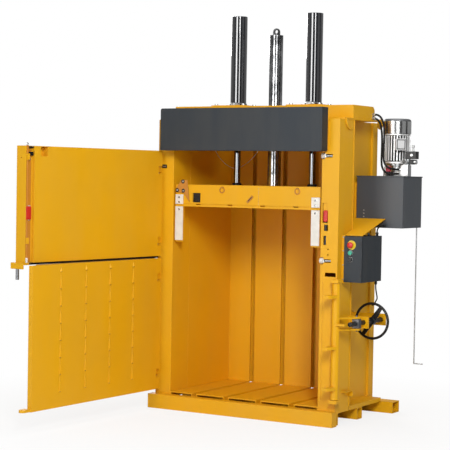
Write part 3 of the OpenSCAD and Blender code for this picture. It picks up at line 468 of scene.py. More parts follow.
# %% The gatherer
class Shape:
    def __init__(self, name, *finishes):
        self.name = name
        self.finishes = finishes
        self.whole = bmesh.new()

    def take(self, part, finish=0, turn=None):
        """Closes a part's seams, turns its faces outwards and adds it to the whole."""
        bmesh.ops.remove_doubles(part, verts=part.verts, dist=0.002)
        bmesh.ops.recalc_face_normals(part, faces=part.faces)
        if turn is not None:
            part.transform(turn)
        for face in part.faces:
            face.material_index = finish
        mesh = bpy.data.meshes.new("part")
        part.to_mesh(mesh)
        part.free()
        self.whole.from_mesh(mesh)
        bpy.data.meshes.remove(mesh)

    def stand(self, part, place, facing, lift, finish, turn):
        """Takes a part that is drawn upright round the origin to its place."""
        part.transform(Matrix.Translation(place) @ FACING[facing]
                       @ Matrix.Translation((0, 0, lift)))
        self.take(part, finish, turn)

    def block(self, low, high, width=1.0, steps=2, finish=0, turn=None):
        part = bmesh.new()
        bmesh.ops.create_cube(part, size=1.0)
        bmesh.ops.scale(part, vec=[b - a for a, b in zip(low, high)], verts=part.verts)
        centre = [(a + b) / 2 for a, b in zip(low, high)]
        bmesh.ops.translate(part, vec=centre, verts=part.verts)
        ease_edges(part, width, steps)
        self.take(part, finish, turn)

    def turned(self, outline, place, facing="up", steps=40, finish=0, turn=None):
        """Spins an outline of (radius, height) round the axis that faces that way."""
        part = bmesh.new()
        points = [part.verts.new((radius, 0.0, height)) for radius, height in outline]
        lines = [part.edges.new(pair) for pair in zip(points, points[1:])]
        bmesh.ops.spin(part, geom=points + lines, cent=(0, 0, 0), axis=(0, 0, 1),
                       dvec=(0, 0, 0), angle=math.tau, steps=steps, use_merge=True)
        self.stand(part, place, facing, 0, finish, turn)

    def rod(self, start, end, radius, sides=24, width=0.8, finish=0, turn=None):
        line = Vector(end) - Vector(start)
        part = bar(sides, radius, line.length)
        ease_edges(part, width, 2, 50.0)
        way = line.to_track_quat("Z", "Y").to_matrix().to_4x4()
        part.transform(Matrix.Translation((Vector(start) + Vector(end)) / 2) @ way)
        self.take(part, finish, turn)

    def ring(self, place, facing, radius, wire, sides=12, steps=40, finish=0, turn=None):
        part = bmesh.new()
        section = bmesh.ops.create_circle(part, segments=sides, radius=wire)["verts"]
        part.transform(Matrix.Translation((radius, 0, 0)) @ FACING["front"])
        bmesh.ops.spin(part, geom=section + part.edges[:], cent=(0, 0, 0), axis=(0, 0, 1),
                       dvec=(0, 0, 0), angle=math.tau, steps=steps, use_merge=True)
        self.stand(part, place, facing, 0, finish, turn)

    def hex_bolt(self, place, facing, size, height, finish=0):
        washer = size * 0.16
        self.turned(disc(size * 1.3, 0, washer), place, facing, 20, finish)
        head = bar(6, size, height)
        ease_edges(head, size * 0.12, 2, 50.0)
        self.stand(head, place, facing, washer + height / 2, finish, None)

    def socket_screw(self, place, facing, size, height, finish=0, turn=None):
        head = bar(18, size, height)
        top = max(head.faces, key=lambda face: face.calc_center_median().z)
        bmesh.ops.inset_individual(head, faces=[top], thickness=size * 0.45)
        sunk = bmesh.ops.extrude_discrete_faces(head, faces=[top])["faces"]
        bmesh.ops.translate(head, vec=(0, 0, -height * 0.5), verts=sunk[0].verts)
        self.stand(head, place, facing, height / 2, finish, turn)

    def done(self, body, slot, *replaced, angle=38.0):
        self.whole.transform(Matrix.Scale(0.001, 4))
        set_up(self.name, self.whole, self.finishes, body, replaced, angle)


# %% Make a piece ride on its body
def set_up(name, whole, finishes, body, replaced, angle=38.0):
    """Turns a finished bmesh into a piece, smooth up to an angle and sharp beyond it."""
    mesh = bpy.data.meshes.new(name)
    whole.to_mesh(mesh)
    whole.free()
    for finish in finishes:
        mesh.materials.append(finish)
    mesh.shade_smooth()
    mesh.set_sharp_from_angle(angle=math.radians(angle))
    piece = bpy.data.objects.new(name, mesh)
    bpy.context.scene.collection.objects.link(piece)
    even = piece.modifiers.new("even_normals", "WEIGHTED_NORMAL")
    even.keep_sharp = True
    even.weight = 80
    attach(piece, body)
    if replaced:
        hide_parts(*replaced)
    print(name, "rides on", body, "and has", len(mesh.polygons), "faces")


# %% [markdown]
# ## Sheet steel with real edges
# The posts, doors, tank and covers already have the right shape. Only their edges are
# wrong, because a drawing's edge has no radius. A copy of each solid has its loose
# triangles merged and its flat faces joined, and then every sharp edge is rounded: a
# millimetre on folded sheet, more on welded square tube.

# %% Copies of the solids with rounded edges
EDGE_RADIUS = {
    "left_post": 4.0, "right_post": 2.5, "side_walls": 2.0, "back_wall": 1.2,
    "strap_channels": 2.0, "floor_planks": 1.5, "base_beams": 3.0, "head_plate": 2.0,
    "head_beam": 4.0, "front_crossbeam": 5.0, "small_brackets": 1.2, "front_cover": 1.0,
    "barrels": 3.0, "cylinder_flanges": 2.0, "guide_bush": 2.0, "hinge_brackets": 2.5,
    "hinge_pins": 1.5, "lock_brackets": 2.0, "roller_pins": 1.0, "oil_tank": 4.0,
    "tank_lid": 1.5, "pump_block": 2.0, "drain_rod": 0.8, "hood": 1.0, "control_box": 3.0,
    "upper_door": 1.0, "upper_hardware": 1.5, "door_pin": 2.0, "lower_door": 1.0,
    "strap_guides": 1.0, "ram_platen": 3.0, "wear_blocks": 2.0, "piston_rods": 1.5,
    "guide_column": 2.0, "lock_shaft": 2.0, "spindle_nut": 2.0, "spindle": 1.5,
}
FLAT = math.radians(0.5)
for name, radius in EDGE_RADIUS.items():
    solid = nodes[name]
    copy = bmesh.new()
    copy.from_mesh(solid.data)
    bmesh.ops.remove_doubles(copy, verts=copy.verts, dist=2e-6)
    bmesh.ops.dissolve_limit(copy, angle_limit=FLAT, verts=copy.verts, edges=copy.edges)
    ease_edges(copy, radius / 1000.0)
    set_up(name + "_eased", copy, [solid.data.materials[0]], solid["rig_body"],
           [name])

# %% [markdown]
# ## The motor
# An upright motor drives the pump. Its body is cast with fins for cooling, its terminal
# box looks to the front right, and a pressed fan cowl with a round grille closes the top.
# The round forms are outlines spun round the axis. The fins could be cut out of a thick
# ring, but one block turned round the axis gives each fin its own rounded edge.


# %% Evenly spaced turns round an upright axis
def turns_round(place, count, first=0.0):
    return [Matrix.Translation(place) @ Matrix.Rotation(first + math.tau * k / count, 4, "Z")
            for k in range(count)]


# %% Motor body, fins and foot bolts
FINS = 28
FOOT_BOLTS = 4
BOLT_CIRCLE = 84
motor = Shape("drive_motor", finned_alloy, zinc, black_plastic, pale_alloy)
motor.turned([(0, 1758), (86, 1758), (90, 1761), (90, 1771), (86, 1775), (79, 1777),
              (74, 1783), (74, 1785)], MOTOR, steps=56)
# The core between the fins is black: a painted shade in the gaps between them.
motor.turned([(74, 1784), (71, 1786), (71, 1947), (74, 1950)], MOTOR, steps=56, finish=2)
motor.turned([(74, 1949), (74, 1950), (82, 1953), (92, 1956), (92, 1963), (88, 1965),
              (0, 1965)], MOTOR, steps=56)
for turn in turns_round(MOTOR, FINS):
    motor.block((70, -3.7, 1779), (93.5, 3.7, 1953), 1.6, turn=turn)
for k in range(FOOT_BOLTS):
    bearing = math.tau * (k + 0.5) / FOOT_BOLTS
    motor.hex_bolt((MOTOR[0] + BOLT_CIRCLE * math.cos(bearing),
                    MOTOR[1] + BOLT_CIRCLE * math.sin(bearing), 1775), "up", 6.5, 6, 1)
print("the motor has", len(motor.whole.faces), "faces before its terminal box")

# %% Terminal box
FRONT_RIGHT = Matrix.Translation(MOTOR) @ Matrix.Rotation(math.radians(37), 4, "Z")
motor.block((-35, -124, 1851), (35, -64, 1931), 5.0, 3, 3, FRONT_RIGHT)
motor.block((-36, -130, 1850), (36, -123, 1932), 2.4, 2, 3, FRONT_RIGHT)
motor.block((-35.4, -124.6, 1850.6), (35.4, -121.4, 1931.4), 0.2, 1, 2, FRONT_RIGHT)
motor.block((-24, -131.4, 1863), (24, -129.6, 1919), 1.2, 2, 3, FRONT_RIGHT)
# A black border round the raised panel: a gasket, and a painted shade of the recess round the
# panel.
motor.block((-30, -130.5, 1857), (30, -129.8, 1925), 0.1, 1, 2, FRONT_RIGHT)
for x in (-32.5, 32.5):
    for z in (1853.5, 1928.5):
        motor.socket_screw((x, -129.6, z), "front", 3.4, 0.4, 1, FRONT_RIGHT)
motor.rod((0, -92, 1852), (0, -92, 1838), 10, 24, 1.5, 2, FRONT_RIGHT)
motor.done("frame", "motor_aluminium", "motor_body")

# %% Fan cowl and its grille
GRILLE_ARMS = 8
COWL_SCREWS = 3
cowl = Shape("fan_cowl", cowl_metal, black_plastic, zinc, dull_steel)
cowl.turned([(90, 1966), (97, 1966), (97, 2046), (96.4, 2051), (0, 2051), (0, 1970),
             (90, 1970), (90, 1966)], MOTOR, steps=64)
cowl.turned([(0, 2050), (96.4, 2050.6), (95.5, 2056), (91, 2064), (84, 2068), (80, 2069),
             (79, 2066), (0, 2066)], MOTOR, steps=64, finish=3)
cowl.turned(disc(78.5, 2064, 2066.6), MOTOR, finish=1)
for radius in range(22, 71, 12):
    cowl.ring((*MOTOR[:2], 2068), "up", radius, 1.7, 8, 48, finish=3)
for turn in turns_round(MOTOR, GRILLE_ARMS):
    cowl.block((10, -1.4, 2066), (80, 1.4, 2069), 0.6, 1, turn=turn)
cowl.turned([(0, 2066), (14, 2066), (14, 2070), (11, 2071.5), (0, 2071.5)], MOTOR, steps=24)
for turn in turns_round(MOTOR, COWL_SCREWS, math.radians(-110)):
    cowl.turned([(0, 0), (4.5, 0), (3.6, 2.0), (0, 2.4)], (94.6, 0, 1974), "right", 16, 2, turn)
cowl.done("frame", "motor_aluminium", "motor_cowl")

# %% [markdown]
# ## The valve block
# Beside the motor stands a small stack: a bored steel block with the hose ports, a black
# valve body with its coil and screws, and a pressure gauge. The gauge's dial is black with
# white marks and a needle, which are thin blocks turned round the middle of the dial.

# %% Blocks, ports and valve coil
valves = Shape("valve_block", zinc, black_plastic, white)
valves.block((927, 515, 1674), (980, 575, 1750), 2.0)
valves.block((941, 523, 1749), (980, 559, 1793), 1.5)
valves.block((958, 519, 1792), (1037, 571, 1844), 3.0, 2, 1)
valves.block((980, 526, 1755), (1014, 564, 1789), 4.0, 3, 1)
for x in (965, 1030):
    for y in (526, 564):
        valves.socket_screw((x, y, 1841), "up", 4.5, 3.0)
for x, z in ((936, 1684), (971, 1684), (936, 1740), (971, 1740)):
    valves.socket_screw((x, 517, z), "front", 4.0, 2.0)
for z in (1720, 1690):
    valves.rod((914, 523, z), (930, 531.5, z), 11, 6, 1.0)
valves.turned([(0, 0), (13, 0), (13, 2), (16, 3), (16, 17), (13, 20), (6, 20), (6, 22.5),
               (0, 22.5)], (1013.8, 545, 1772), "right", 28)
valves.turned([(0, 0), (11, 0), (11, 3), (9, 4), (9, 6), (0, 6)], (1004, 522, 1818), "front", 6)
valves.turned([(0, 0), (9, 0), (9, 6), (6, 8), (6, 26), (9, 28), (9, 42), (7, 44), (0, 44)],
              (1002, 552, 1843), "up", 20)
print("the valve block has", len(valves.whole.faces), "faces before its gauge")

# %% Pressure gauge
GAUGE = (958, 535, 1773)
DIAL = Matrix.Translation((958, 501, 1773))
MARKS = 9
valves.turned([(0, 0), (7, 0), (7, 7), (18, 9), (20, 12), (20, 33), (18.6, 35.6), (16.8, 35.6),
               (16.8, 33), (0, 33)], GAUGE, "front", 36)
valves.turned(disc(16.7, 32.4, 33.6), GAUGE, "front", 36, 1)
for k in range(MARKS):
    mark = DIAL @ Matrix.Rotation(math.radians(30 * k - 120), 4, "Y")
    valves.block((-0.6, 0, 11.5), (0.6, 1, 15.5), 0.1, 1, 2, mark)
needle = DIAL @ Matrix.Rotation(math.radians(-70), 4, "Y")
valves.block((-0.8, -0.4, -4), (0.8, 0.6, 12), 0.2, 1, 2, needle)
valves.done("frame", "bright_steel", "valve_stack")

# %% Filler cap with a breather
CAP = (843, 500, 0)
CAP_RIBS = 20
breather = Shape("tank_breather", white, faded_red, black_plastic)
breather.turned([(0, 1674), (15, 1674), (15, 1679), (13, 1681), (13, 1703), (15, 1705),
                 (0, 1705)], CAP, finish=2)
breather.turned([(0, 1705), (16.5, 1705), (17, 1707), (17, 1738), (15, 1742), (10, 1744),
                 (0, 1744)], CAP, finish=1)
for turn in turns_round(CAP, CAP_RIBS):
    breather.rod((17, 0, 1708), (17, 0, 1737), 1.0, 6, 0.2, 1, turn)
breather.turned([(0, 1674), (7, 1674), (7, 1704), (9, 1706), (9, 1736), (7, 1739), (0, 1740)],
                (820, 500, 0), steps=28)
breather.done("frame", "red_plastic", "filler_cap")

# %% [markdown]
# ## The control box
# The control box has a lid in front with two quarter-turn locks and three buttons. The stop
# button is a red mushroom on a yellow disc, made to be struck in a hurry. The other two are
# small and ringed, so that they are pressed only on purpose. The solids of the lid and the
# buttons say where all of it sits.


# %% Where things are on the lid
def box_of(name):
    """The low and the high corner of a solid in millimetres, to the nearest tenth."""
    lines = list(zip(*(vertex.co for vertex in nodes[name].data.vertices)))
    return [tuple(round(1000.0 * pick(line), 1) for line in lines) for pick in (min, max)]


def on_lid(button):
    x, _, z = middle(button)
    return x, lid_y, z


(lid_x0, lid_y, lid_z0), (lid_x1, _, lid_z1) = box_of("control_lid")
print("the stop button is at", on_lid("stop_button"))

# %% Lid, hinges and quarter-turn locks
BUTTON_RING = [(13, 0), (17.5, 0), (17.5, 3), (16.5, 4), (15.2, 4), (15.2, 0.5), (13, 0.5), (13, 0)]
box = Shape("control_lid_panel", grey, zinc, black_plastic)
box.block((lid_x0 + 0.4, lid_y, lid_z0 + 0.4), (lid_x1 - 0.4, lid_y + 5, lid_z1 - 0.4), 2.2, 3)
box.block((lid_x0 + 4, lid_y + 4.5, lid_z0 + 4), (lid_x1 - 4, lid_y + 12.5, lid_z1 - 4), 0.5, 1, 2)
for z in (1010, 1220):
    box.rod((lid_x1 - 7, lid_y + 1.5, z - 16), (lid_x1 - 7, lid_y + 1.5, z + 16), 3.6, 16, 0.6, 2)
for z in (1016, 1080):
    box.turned([(0, 0), (8.5, 0), (8.5, 1.5), (7.5, 2.4), (0, 2.4)], (760, lid_y + 0.5, z),
               "front", 24, 2)
for button in ("start_button", "return_button"):
    box.turned(BUTTON_RING, on_lid(button), "front", 32, 1)
box.done("frame", "dark_paint", "control_lid")

# %% Stop disc and stop button
collar = Shape("stop_disc", bright_yellow)
collar.turned([(11.6, 0.0), (31, 0.0), (31, 1.8), (30, 2.8), (11.6, 2.8), (11.6, 0.0)],
              on_lid("stop_collar"), "front", 48)
collar.done("frame", "yellow_plastic", "stop_collar")
stop = Shape("stop_mushroom", red)
stop.turned([(0, -14), (11, -14), (11, 18), (14, 19), (20, 20), (21, 23), (20.4, 28),
             (16, 32), (9, 33.6), (0, 34)], on_lid("stop_button"), "front", 40)
stop.done("stop_button", "red_plastic", "stop_button")

# %% Start and return buttons
for name, finish, slot, button in (
        ("start_cap", green, "green_plastic", "start_button"),
        ("return_cap", black_plastic, "black_plastic", "return_button")):
    cap = Shape(name, finish)
    cap.turned([(0, -14), (11, -14), (11, 5.4), (14.2, 6.4), (15, 8), (15, 13), (14, 14.6),
                (11, 14.6), (10, 13.6), (0, 13.4)], on_lid(button), "front", 36)
    cap.done(button, slot, button)

# %% [markdown]
# ## The lock's handwheel
# The wheel is a cast rim, round in section, on two flat tapered spokes and a turned hub.
# A torus would make the rim alone, but a circle spun round the axle by the same method as
# the other rings keeps all the round parts alike.

# %% Rim, hub and spokes
WHEEL = middle("handwheel")
wheel = Shape("lock_wheel", black, zinc)
wheel.ring(WHEEL, "front", 119, 9.0, 20, 96)
wheel.turned([(16, -18), (24, -18), (26, -16), (26, 16), (24, 18), (16, 18), (16, -18)],
             WHEEL, "front", 40)
for angle in (55, 235):
    spoke = bmesh.new()
    bmesh.ops.create_cube(spoke, size=1.0)
    bmesh.ops.scale(spoke, vec=(94, 10, 40), verts=spoke.verts)
    tip = [vert for vert in spoke.verts if vert.co.x > 0]
    bmesh.ops.scale(spoke, vec=(1.0, 1.0, 0.65), verts=tip)
    bmesh.ops.translate(spoke, vec=(66, 0, 0), verts=spoke.verts)
    ease_edges(spoke, 3.5, 3)
    wheel.take(spoke, 0, Matrix.Translation(WHEEL) @ Matrix.Rotation(math.radians(-angle), 4, "Y"))
wheel.done("wheel", "black_paint", "handwheel")

# %% [markdown]
# ## Grips and latches
# The drop bolt of the upper door and the latch of the right post are both lifted by red
# moulded grips. Whatever sits on a door is drawn as if the door were closed, where its
# places are plain numbers, and is then swung about the hinge to the open door.


# %% Turning a part with its open door
def swung(angle):
    hinge = Vector((*middle("hinge_pins")[:2], 0))
    turn = Matrix.Rotation(math.radians(-angle), 4, "Z")
    return Matrix.Translation(hinge) @ turn @ Matrix.Translation(-hinge)


UPPER = swung(94.5)
LOWER = swung(92.0)
print("the hinge is at", middle("hinge_pins")[:2])

# %% Drop bolt and its grip
BOLT_X, BOLT_Y = 656, -12
bolt = Shape("drop_bolt_rod", greasy_shade_yellow, red, zinc, white)
bolt.rod((BOLT_X, BOLT_Y, 1092), (BOLT_X, BOLT_Y, 1828), 8.0, 24, 1.5, 0, UPPER)
# A white rim behind the grip: a painted highlight round its edge.
bolt.block((617, -20.6, 1351), (673.4, -17.6, 1447), 1.4, 2, 3, UPPER)
bolt.block((621, -19.5, 1356), (672, -2.6, 1442), 6.0, 4, 1, UPPER)
bolt.block((632, -3.2, 1372), (661, -2.2, 1426), 0.4, 2, 1, UPPER)
bolt.ring((BOLT_X, BOLT_Y, 1836), "front", 8.0, 3.0, 12, 28, 2, UPPER)
bolt.done("drop_bolt", "yellow_paint", "drop_bolt")

# %% Post latch
GRIP_RIDGES = 5
latch = Shape("post_latch_link", black, red, yellow)
latch.block((612, 7, 1177), (628, 15, 1400), 2.5, 2)
latch.rod((620, 1, 1217), (620, 7.5, 1217), 8.0)
latch.block((603.5, 1.2, 1360), (636.5, 23.5, 1437.5), 7.0, 4, 1)
for k in range(GRIP_RIDGES):
    z = 1378 + 12 * k
    latch.block((608, 0.1, z - 2.4), (632, 2.4, z + 2.4), 1.0, 2, 1)
latch.block((601, 8, 1428), (639, 9.5, 1541), 0.4, 1, 2)
latch.done("post_latch", "red_plastic", "post_latch")

# %% [markdown]
# ## Small parts of the doors
# The lower door's inside carries four rows of louvres punched out of the sheet, which
# guide the tying straps: each is a wedge whose open lower end is closed by a black
# triangle, a painted shade of the hollow behind it. A black rubber lip hangs from the upper
# door and closes the gap between the two; its black also stands in for the shade in that
# gap. The channel at that door's free edge holds the rubber stops and the nylon bush that
# the drop bolt runs in, and a thin liner of darker orange paint along it is a painted
# shade in the channel as well as grease where the bolt slides.

# %% Louvres of the lower door
LOUVRE_ROWS = (-390, -130, 130, 390)
LOUVRES_IN_ROW = 8
LOUVRE_PITCH = 111.5
louvres = Shape("strap_louvres", yellow, black)
for x in LOUVRE_ROWS:
    for k in range(LOUVRES_IN_ROW):
        low = 236 + LOUVRE_PITCH * k
        top = low + (34 if k == LOUVRES_IN_ROW - 1 else 106)
        wedge = bmesh.new()
        spots = [(x - 11.5, -2.4, low), (x + 11.5, -2.4, low), (x, 6.8, low + 5),
                 (x - 2.2, -2.4, top), (x + 2.2, -2.4, top), (x, -1.4, top - 2)]
        corners = [wedge.verts.new(spot) for spot in spots]
        for side in ((0, 2, 5, 3), (2, 1, 4, 5), (3, 5, 4), (0, 3, 4, 1)):
            wedge.faces.new([corners[i] for i in side])
        louvres.take(wedge, 0, LOWER)
        # Each louvre's open end is a black triangle: a painted shade of the hollow behind it.
        mouth = bmesh.new()
        spots = [(x - 10.9, -1.9, low - 0.4), (x + 10.9, -1.9, low - 0.4), (x, 6.2, low + 3.8)]
        mouth.faces.new([mouth.verts.new(spot) for spot in spots])
        louvres.take(mouth, 1, LOWER)
louvres.done("lower_door", "yellow_paint", "strap_guides", angle=20.0)

# %% Rubber lip of the upper door
lip = Shape("door_lip", rubber)
# The lip's black rubber also stands in for the shade in the gap between the doors.
lip.block((-690, -13, 1068.5), (632, -6, 1083), 1.5, 2, 0, UPPER)
lip.done("upper_door", "black_rubber")

# %% Stops, bush and liner of the drop bolt's channel
stops = Shape("bolt_stops", rubber, zinc, white, greasy_shade_yellow)
stops.block((604, -21.5, 1763), (640, -7, 1787), 2.0, 2, 0, UPPER)
stops.block((600, -21.5, 1811), (645, -9, 1823), 2.0, 2, 0, UPPER)
stops.block((626, -21.5, 1734), (639, -12, 1751), 2.0, 2, 1, UPPER)
stops.turned(bush(8.4, 9.9, 0, 30), (BOLT_X, BOLT_Y, 1083), "up", 28, 2, UPPER)
# A liner of darker orange paint: a painted shade in the channel, and grease where the bolt slides.
stops.block((611, -21.9, 1086), (673.6, -21.2, 1808), 0.2, 1, 3, UPPER)
stops.done("upper_door", "black_rubber")

# %% [markdown]
# ## Fittings of the ram
# A hook plate is bolted to the ram's left end, two lifting loops and a slotted handle
# are welded to its front, a square pocket is filled with black blocks as a painted shade
# of its hollow, and a row of tack welds shows where its two front plates meet. The
# fittings were painted with the ram, so only the bolts are bare; their yellow is rubbed,
# and darker than the ram's as a painted shade. The handle's slot is a black strip, a
# painted shade. The hook plate is drawn as its outline and extruded.

# %% Hook plate and its bolts
RAM_LEFT = box_of("ram_frame")[0][0]
ram = Shape("ram_hardware", shade_dark_worn_yellow, zinc, black)
plate = bmesh.new()
outline = [(0, 1556), (0, 1537), (68, 1531), (118, 1467), (97, 1623), (47, 1623)]
face = plate.faces.new([plate.verts.new((RAM_LEFT + x, 3.0, z)) for x, z in outline])
thick = bmesh.ops.extrude_face_region(plate, geom=[face])["geom"]
back = [part for part in thick if isinstance(part, bmesh.types.BMVert)]
bmesh.ops.translate(plate, vec=(0, 4, 0), verts=back)
ease_edges(plate, 0.9, 2)
ram.take(plate)
ram.block((-510, 7, 1537), (-482, 12.4, 1577), 1.2)
for x, z in ((-513, 1612), (-509, 1547), (-560, 1550)):
    ram.turned([(0, 0), (14, 0), (14, 1.0), (12.5, 1.6), (0, 1.6)], (x, 3.0, z), "front", 28, 2)
    ram.hex_bolt((x, 1.6, z), "front", 4.6, 0.6, 1)
print("the hook plate has", len(ram.whole.faces), "faces")

# %% Loops, pocket, handle and tack welds
for x, z in ((-192, 1557), (402, 1559)):
    ram.ring((x, 8, z), "front", 18, 3.9, 12, 36)
    ram.block((x - 10, 8, z + 14), (x + 10, 12.4, z + 24), 1.5)
# Black blocks fill the square pocket: a painted shade of its hollow.
ram.block((-447, 24, 1457), (-361, 27, 1543), 0.8, 1, 2)
ram.block((-430, 14, 1474), (-386, 24, 1500), 2.0, 2, 2)
HANDLE = Matrix.Translation((32, 0, 1497)) @ Matrix.Rotation(math.radians(-45), 4, "Y")
ram.block((-31, 6.2, -9.5), (31, 12.3, 9.5), 2.0, 2, 0, HANDLE)
# A black strip on the handle: a painted shade of its slot.
ram.block((-20, 6.0, -3.5), (22, 6.9, 3.5), 0.3, 1, 2, HANDLE)
for z in range(1446, 1590, 18):
    ram.turned([(0, 2.2), (1.6, 1.8), (2.8, 0)], (99, 12.1, z), "front", 12, 1)
ram.done("ram", "bright_steel", "ram_fittings", angle=30.0)

# %% Screws of the wear blocks
SCREW_X = 543.5
screws = Shape("wear_screws", dark_steel, black)
for x in (-SCREW_X, SCREW_X):
    for z in (1500, 1467, 1415):
        screws.turned([(0, 0.4), (2.4, 0.4), (3.0, 0.9), (6.6, 0.9), (7.4, 0.4), (7.6, 0)],
                      (x, 3.2, z), "front", 24)
        # A flat black disc over each head's recess: a painted shade of its socket.
        screws.turned([(0, 0.8), (2.6, 0.8)], (x, 3.2, z), "front", 6, 1)
screws.done("ram", "bright_steel")

# %% Rubber collars of the piston rods
CYLINDERS = (-306, 306)
CYLINDER_Y = middle("piston_rods")[1]
collars = Shape("rod_collars", rubber)
for x in CYLINDERS:
    collars.turned([(24.4, 0), (33.8, 0), (33.8, 12), (31, 15.5), (27, 17), (24.4, 17),
                    (24.4, 0)], (x, CYLINDER_Y, 1591), "up", 48)
collars.done("ram", "black_rubber")

# %% [markdown]
# ## Bolts, ports, rollers and glands
# The cylinder flanges are held by hexagon bolts with washers, and an oil port sits on the
# front of each. Two pressed ferrules hold the hoses where they leave the head. The rollers
# of the right post are white nylon on a steel bearing, and each cable enters its box
# through a black gland with a hexagon nut. Small screws hold the control box's bracket
# and the tank, and a black catch plate with its pin sits high on the left post.

# %% Flange bolts and oil ports
FLANGES = [x - 26 for x in CYLINDERS]
bolts = Shape("flange_bolt_heads", zinc)
for x in FLANGES:
    for dx in (-112, 112):
        for dy in (-76, 76):
            bolts.hex_bolt((x + dx, CYLINDER_Y + dy, 2162.2), "up", 12.5, 8.5)
bolts.done("frame", "bright_steel", "flange_bolts")
ports = Shape("cylinder_ports", zinc, black)
for x in FLANGES:
    ports.block((x + 8, 318, 2162), (x + 42, 352, 2180), 1.5)
    ports.turned([(0, 0), (11, 0), (11, 5), (8, 7), (8, 16), (10, 17), (10, 26), (0, 26)],
                 (x + 40, 335, 2172), "right", 6)
    ports.turned(disc(3.6, 0, 4), (x + 25, 320, 2172), "front", 6, 1)
ports.done("frame", "bright_steel")

# %% Hose ferrules
ferrules = Shape("hose_ferrules", zinc)
for y, z in ((505.3, 2094.4), (503.3, 2069.8)):
    ferrules.turned([(7.2, 0), (12.4, 0), (12.4, 6), (9.4, 7), (9.4, 20), (8.4, 22), (7.2, 22),
                     (7.2, 0)], (713, y, z), "right", 28)
ferrules.done("frame", "bright_steel")

# %% Rollers of the right post
for name in ("upper_roller", "lower_roller"):
    _, y, z = middle(name)
    x = box_of(name)[0][0]
    roller = Shape(name + "_nylon", white, zinc)
    roller.turned([(8.3, 0), (13, 0), (13.5, 1), (18, 1), (20, 3), (20, 26), (18, 28),
                   (13.5, 28), (13, 29), (8.3, 29), (8.3, 0)], (x, y, z), "right", 44)
    roller.turned(bush(9, 12.5, -0.1, 0.6), (x - 0.1, y, z), "right", 32, 1)
    roller.done(name, "white_plastic", name)

# %% Cable glands
GLANDS = (((848, 330, 1268), "up", 25), ((848, 200, 1268), "up", 22),
          ((850, 320, 962), "down", 25), ((850, 450, 1332), "front", 25))
glands = Shape("gland_nuts", black_plastic)
for place, facing, reach in GLANDS:
    glands.turned([(0, 0), (9.8, 0), (9.8, 4), (8, 5), (8, 9), (0, 9)], place, facing, 6)
    glands.turned([(0, 8), (9.6, 8), (9.6, reach - 6), (7, reach - 1), (5.5, reach), (0, reach)],
                  place, facing, 28)
glands.turned([(0, 0), (9.8, 0), (9.8, 5), (8.5, 6), (8.5, 12), (6, 15), (0, 15)],
              (615, 762, 760), "right", 24)
glands.done("frame", "black_plastic", "cable_glands")

# %% Small screws and the catch plate on the frame
small = Shape("frame_screws", zinc, black)
for z in (980, 1075, 1170, 1262):
    small.turned([(0, 2.4), (3, 2.2), (5, 0)], (729, 60, z), "front", 16)
for z in (1392, 1414, 1436):
    small.turned([(0, 2.6), (3.4, 2.3), (5.5, 0)], (686, 450.2, z), "front", 16)
small.block((-717, -1.4, 1704), (-648, 0.6, 1730), 1.2, 2, 1)
small.rod((-706, -1.6, 1717), (-706, 0.5, 1717), 7.5, 24, 0.8)
small.block((-684, -1.6, 1711), (-656, 0.5, 1722), 0.9, 2)
small.done("frame", "bright_steel")

# %% [markdown]
# ## Hoses and cables
# Two oil hoses leave the head beside the right post, hang down and turn into the valve
# block. One cable joins the control box and the tank, one runs down from that box to the
# side wall behind the lock, and one hangs in a loop inside the head. Each is one smooth
# line through points that keep to its solid, so a curve with a round bevel is enough.


# %% Lay one hose along its points
def smooth_line(points, steps=6):
    """Points along a Catmull-Rom line through the given ones, in metres."""
    stops = [Vector(point) / 1000.0 for point in points]
    stops = [2 * stops[0] - stops[1]] + stops + [2 * stops[-1] - stops[-2]]
    line = []
    for i in range(1, len(stops) - 2):
        a, b, c, d = stops[i - 1 : i + 3]
        for k in range(steps):
            t = k / steps
            line.append(
                0.5 * (2 * b + (c - a) * t + (2 * a - 5 * b + 4 * c - d) * t * t
                       + (3 * b - a - 3 * c + d) * t ** 3)
            )
    return line + [stops[-2]]


def lay_cord(name, solid, points, radius, finish, slot, stiffness):
    line = smooth_line(points)
    data = bpy.data.curves.new(name, "CURVE")
    data.dimensions = "3D"
    data.bevel_depth = radius
    data.bevel_resolution = 5
    spline = data.splines.new("POLY")
    spline.points.add(len(line) - 1)
    for point, where in zip(spline.points, line):
        point.co = (*where, 1.0)
    spline.use_smooth = True
    data.materials.append(finish)
    piece = bpy.data.objects.new(name, data)
    bpy.context.scene.collection.objects.link(piece)
    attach(piece, nodes[solid]["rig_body"])
    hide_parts(solid)
    length = sum((b - a).length for a, b in zip(line, line[1:]))
    print(name, "is", round(length, 3), "m long")


# %% The five routes
PRESSURE = [(715, 505, 2094), (738, 507, 2096), (764, 507, 2086), (785, 506, 2062),
            (799, 504, 2025), (805, 502, 1980), (807, 499, 1928), (808, 494, 1870),
            (811, 485, 1816), (821, 474, 1773), (839, 470, 1744), (863, 480, 1728),
            (886, 499, 1722), (907, 518, 1720), (927, 530, 1720)]
RETURN = [(715, 503, 2070), (733, 504, 2068), (752, 507, 2059), (768, 510, 2036),
          (777, 512, 2002), (783, 512, 1960), (786, 510, 1900), (788, 504, 1840),
          (793, 492, 1785), (806, 474, 1740), (830, 463, 1706), (858, 468, 1692),
          (884, 488, 1690), (906, 511, 1690), (927, 528, 1690)]
CONTROL = [(848, 330, 1293), (848, 330, 1302), (849, 336, 1314), (850, 350, 1323),
           (850, 372, 1329), (850, 398, 1332), (850, 425, 1332)]
LOCK_SWITCH = [(850, 320, 937), (850, 321, 915), (848, 333, 889), (836, 370, 860),
               (805, 440, 832), (762, 510, 806), (715, 590, 782), (672, 665, 766),
               (645, 722, 760), (637, 760, 760), (630, 762, 760)]
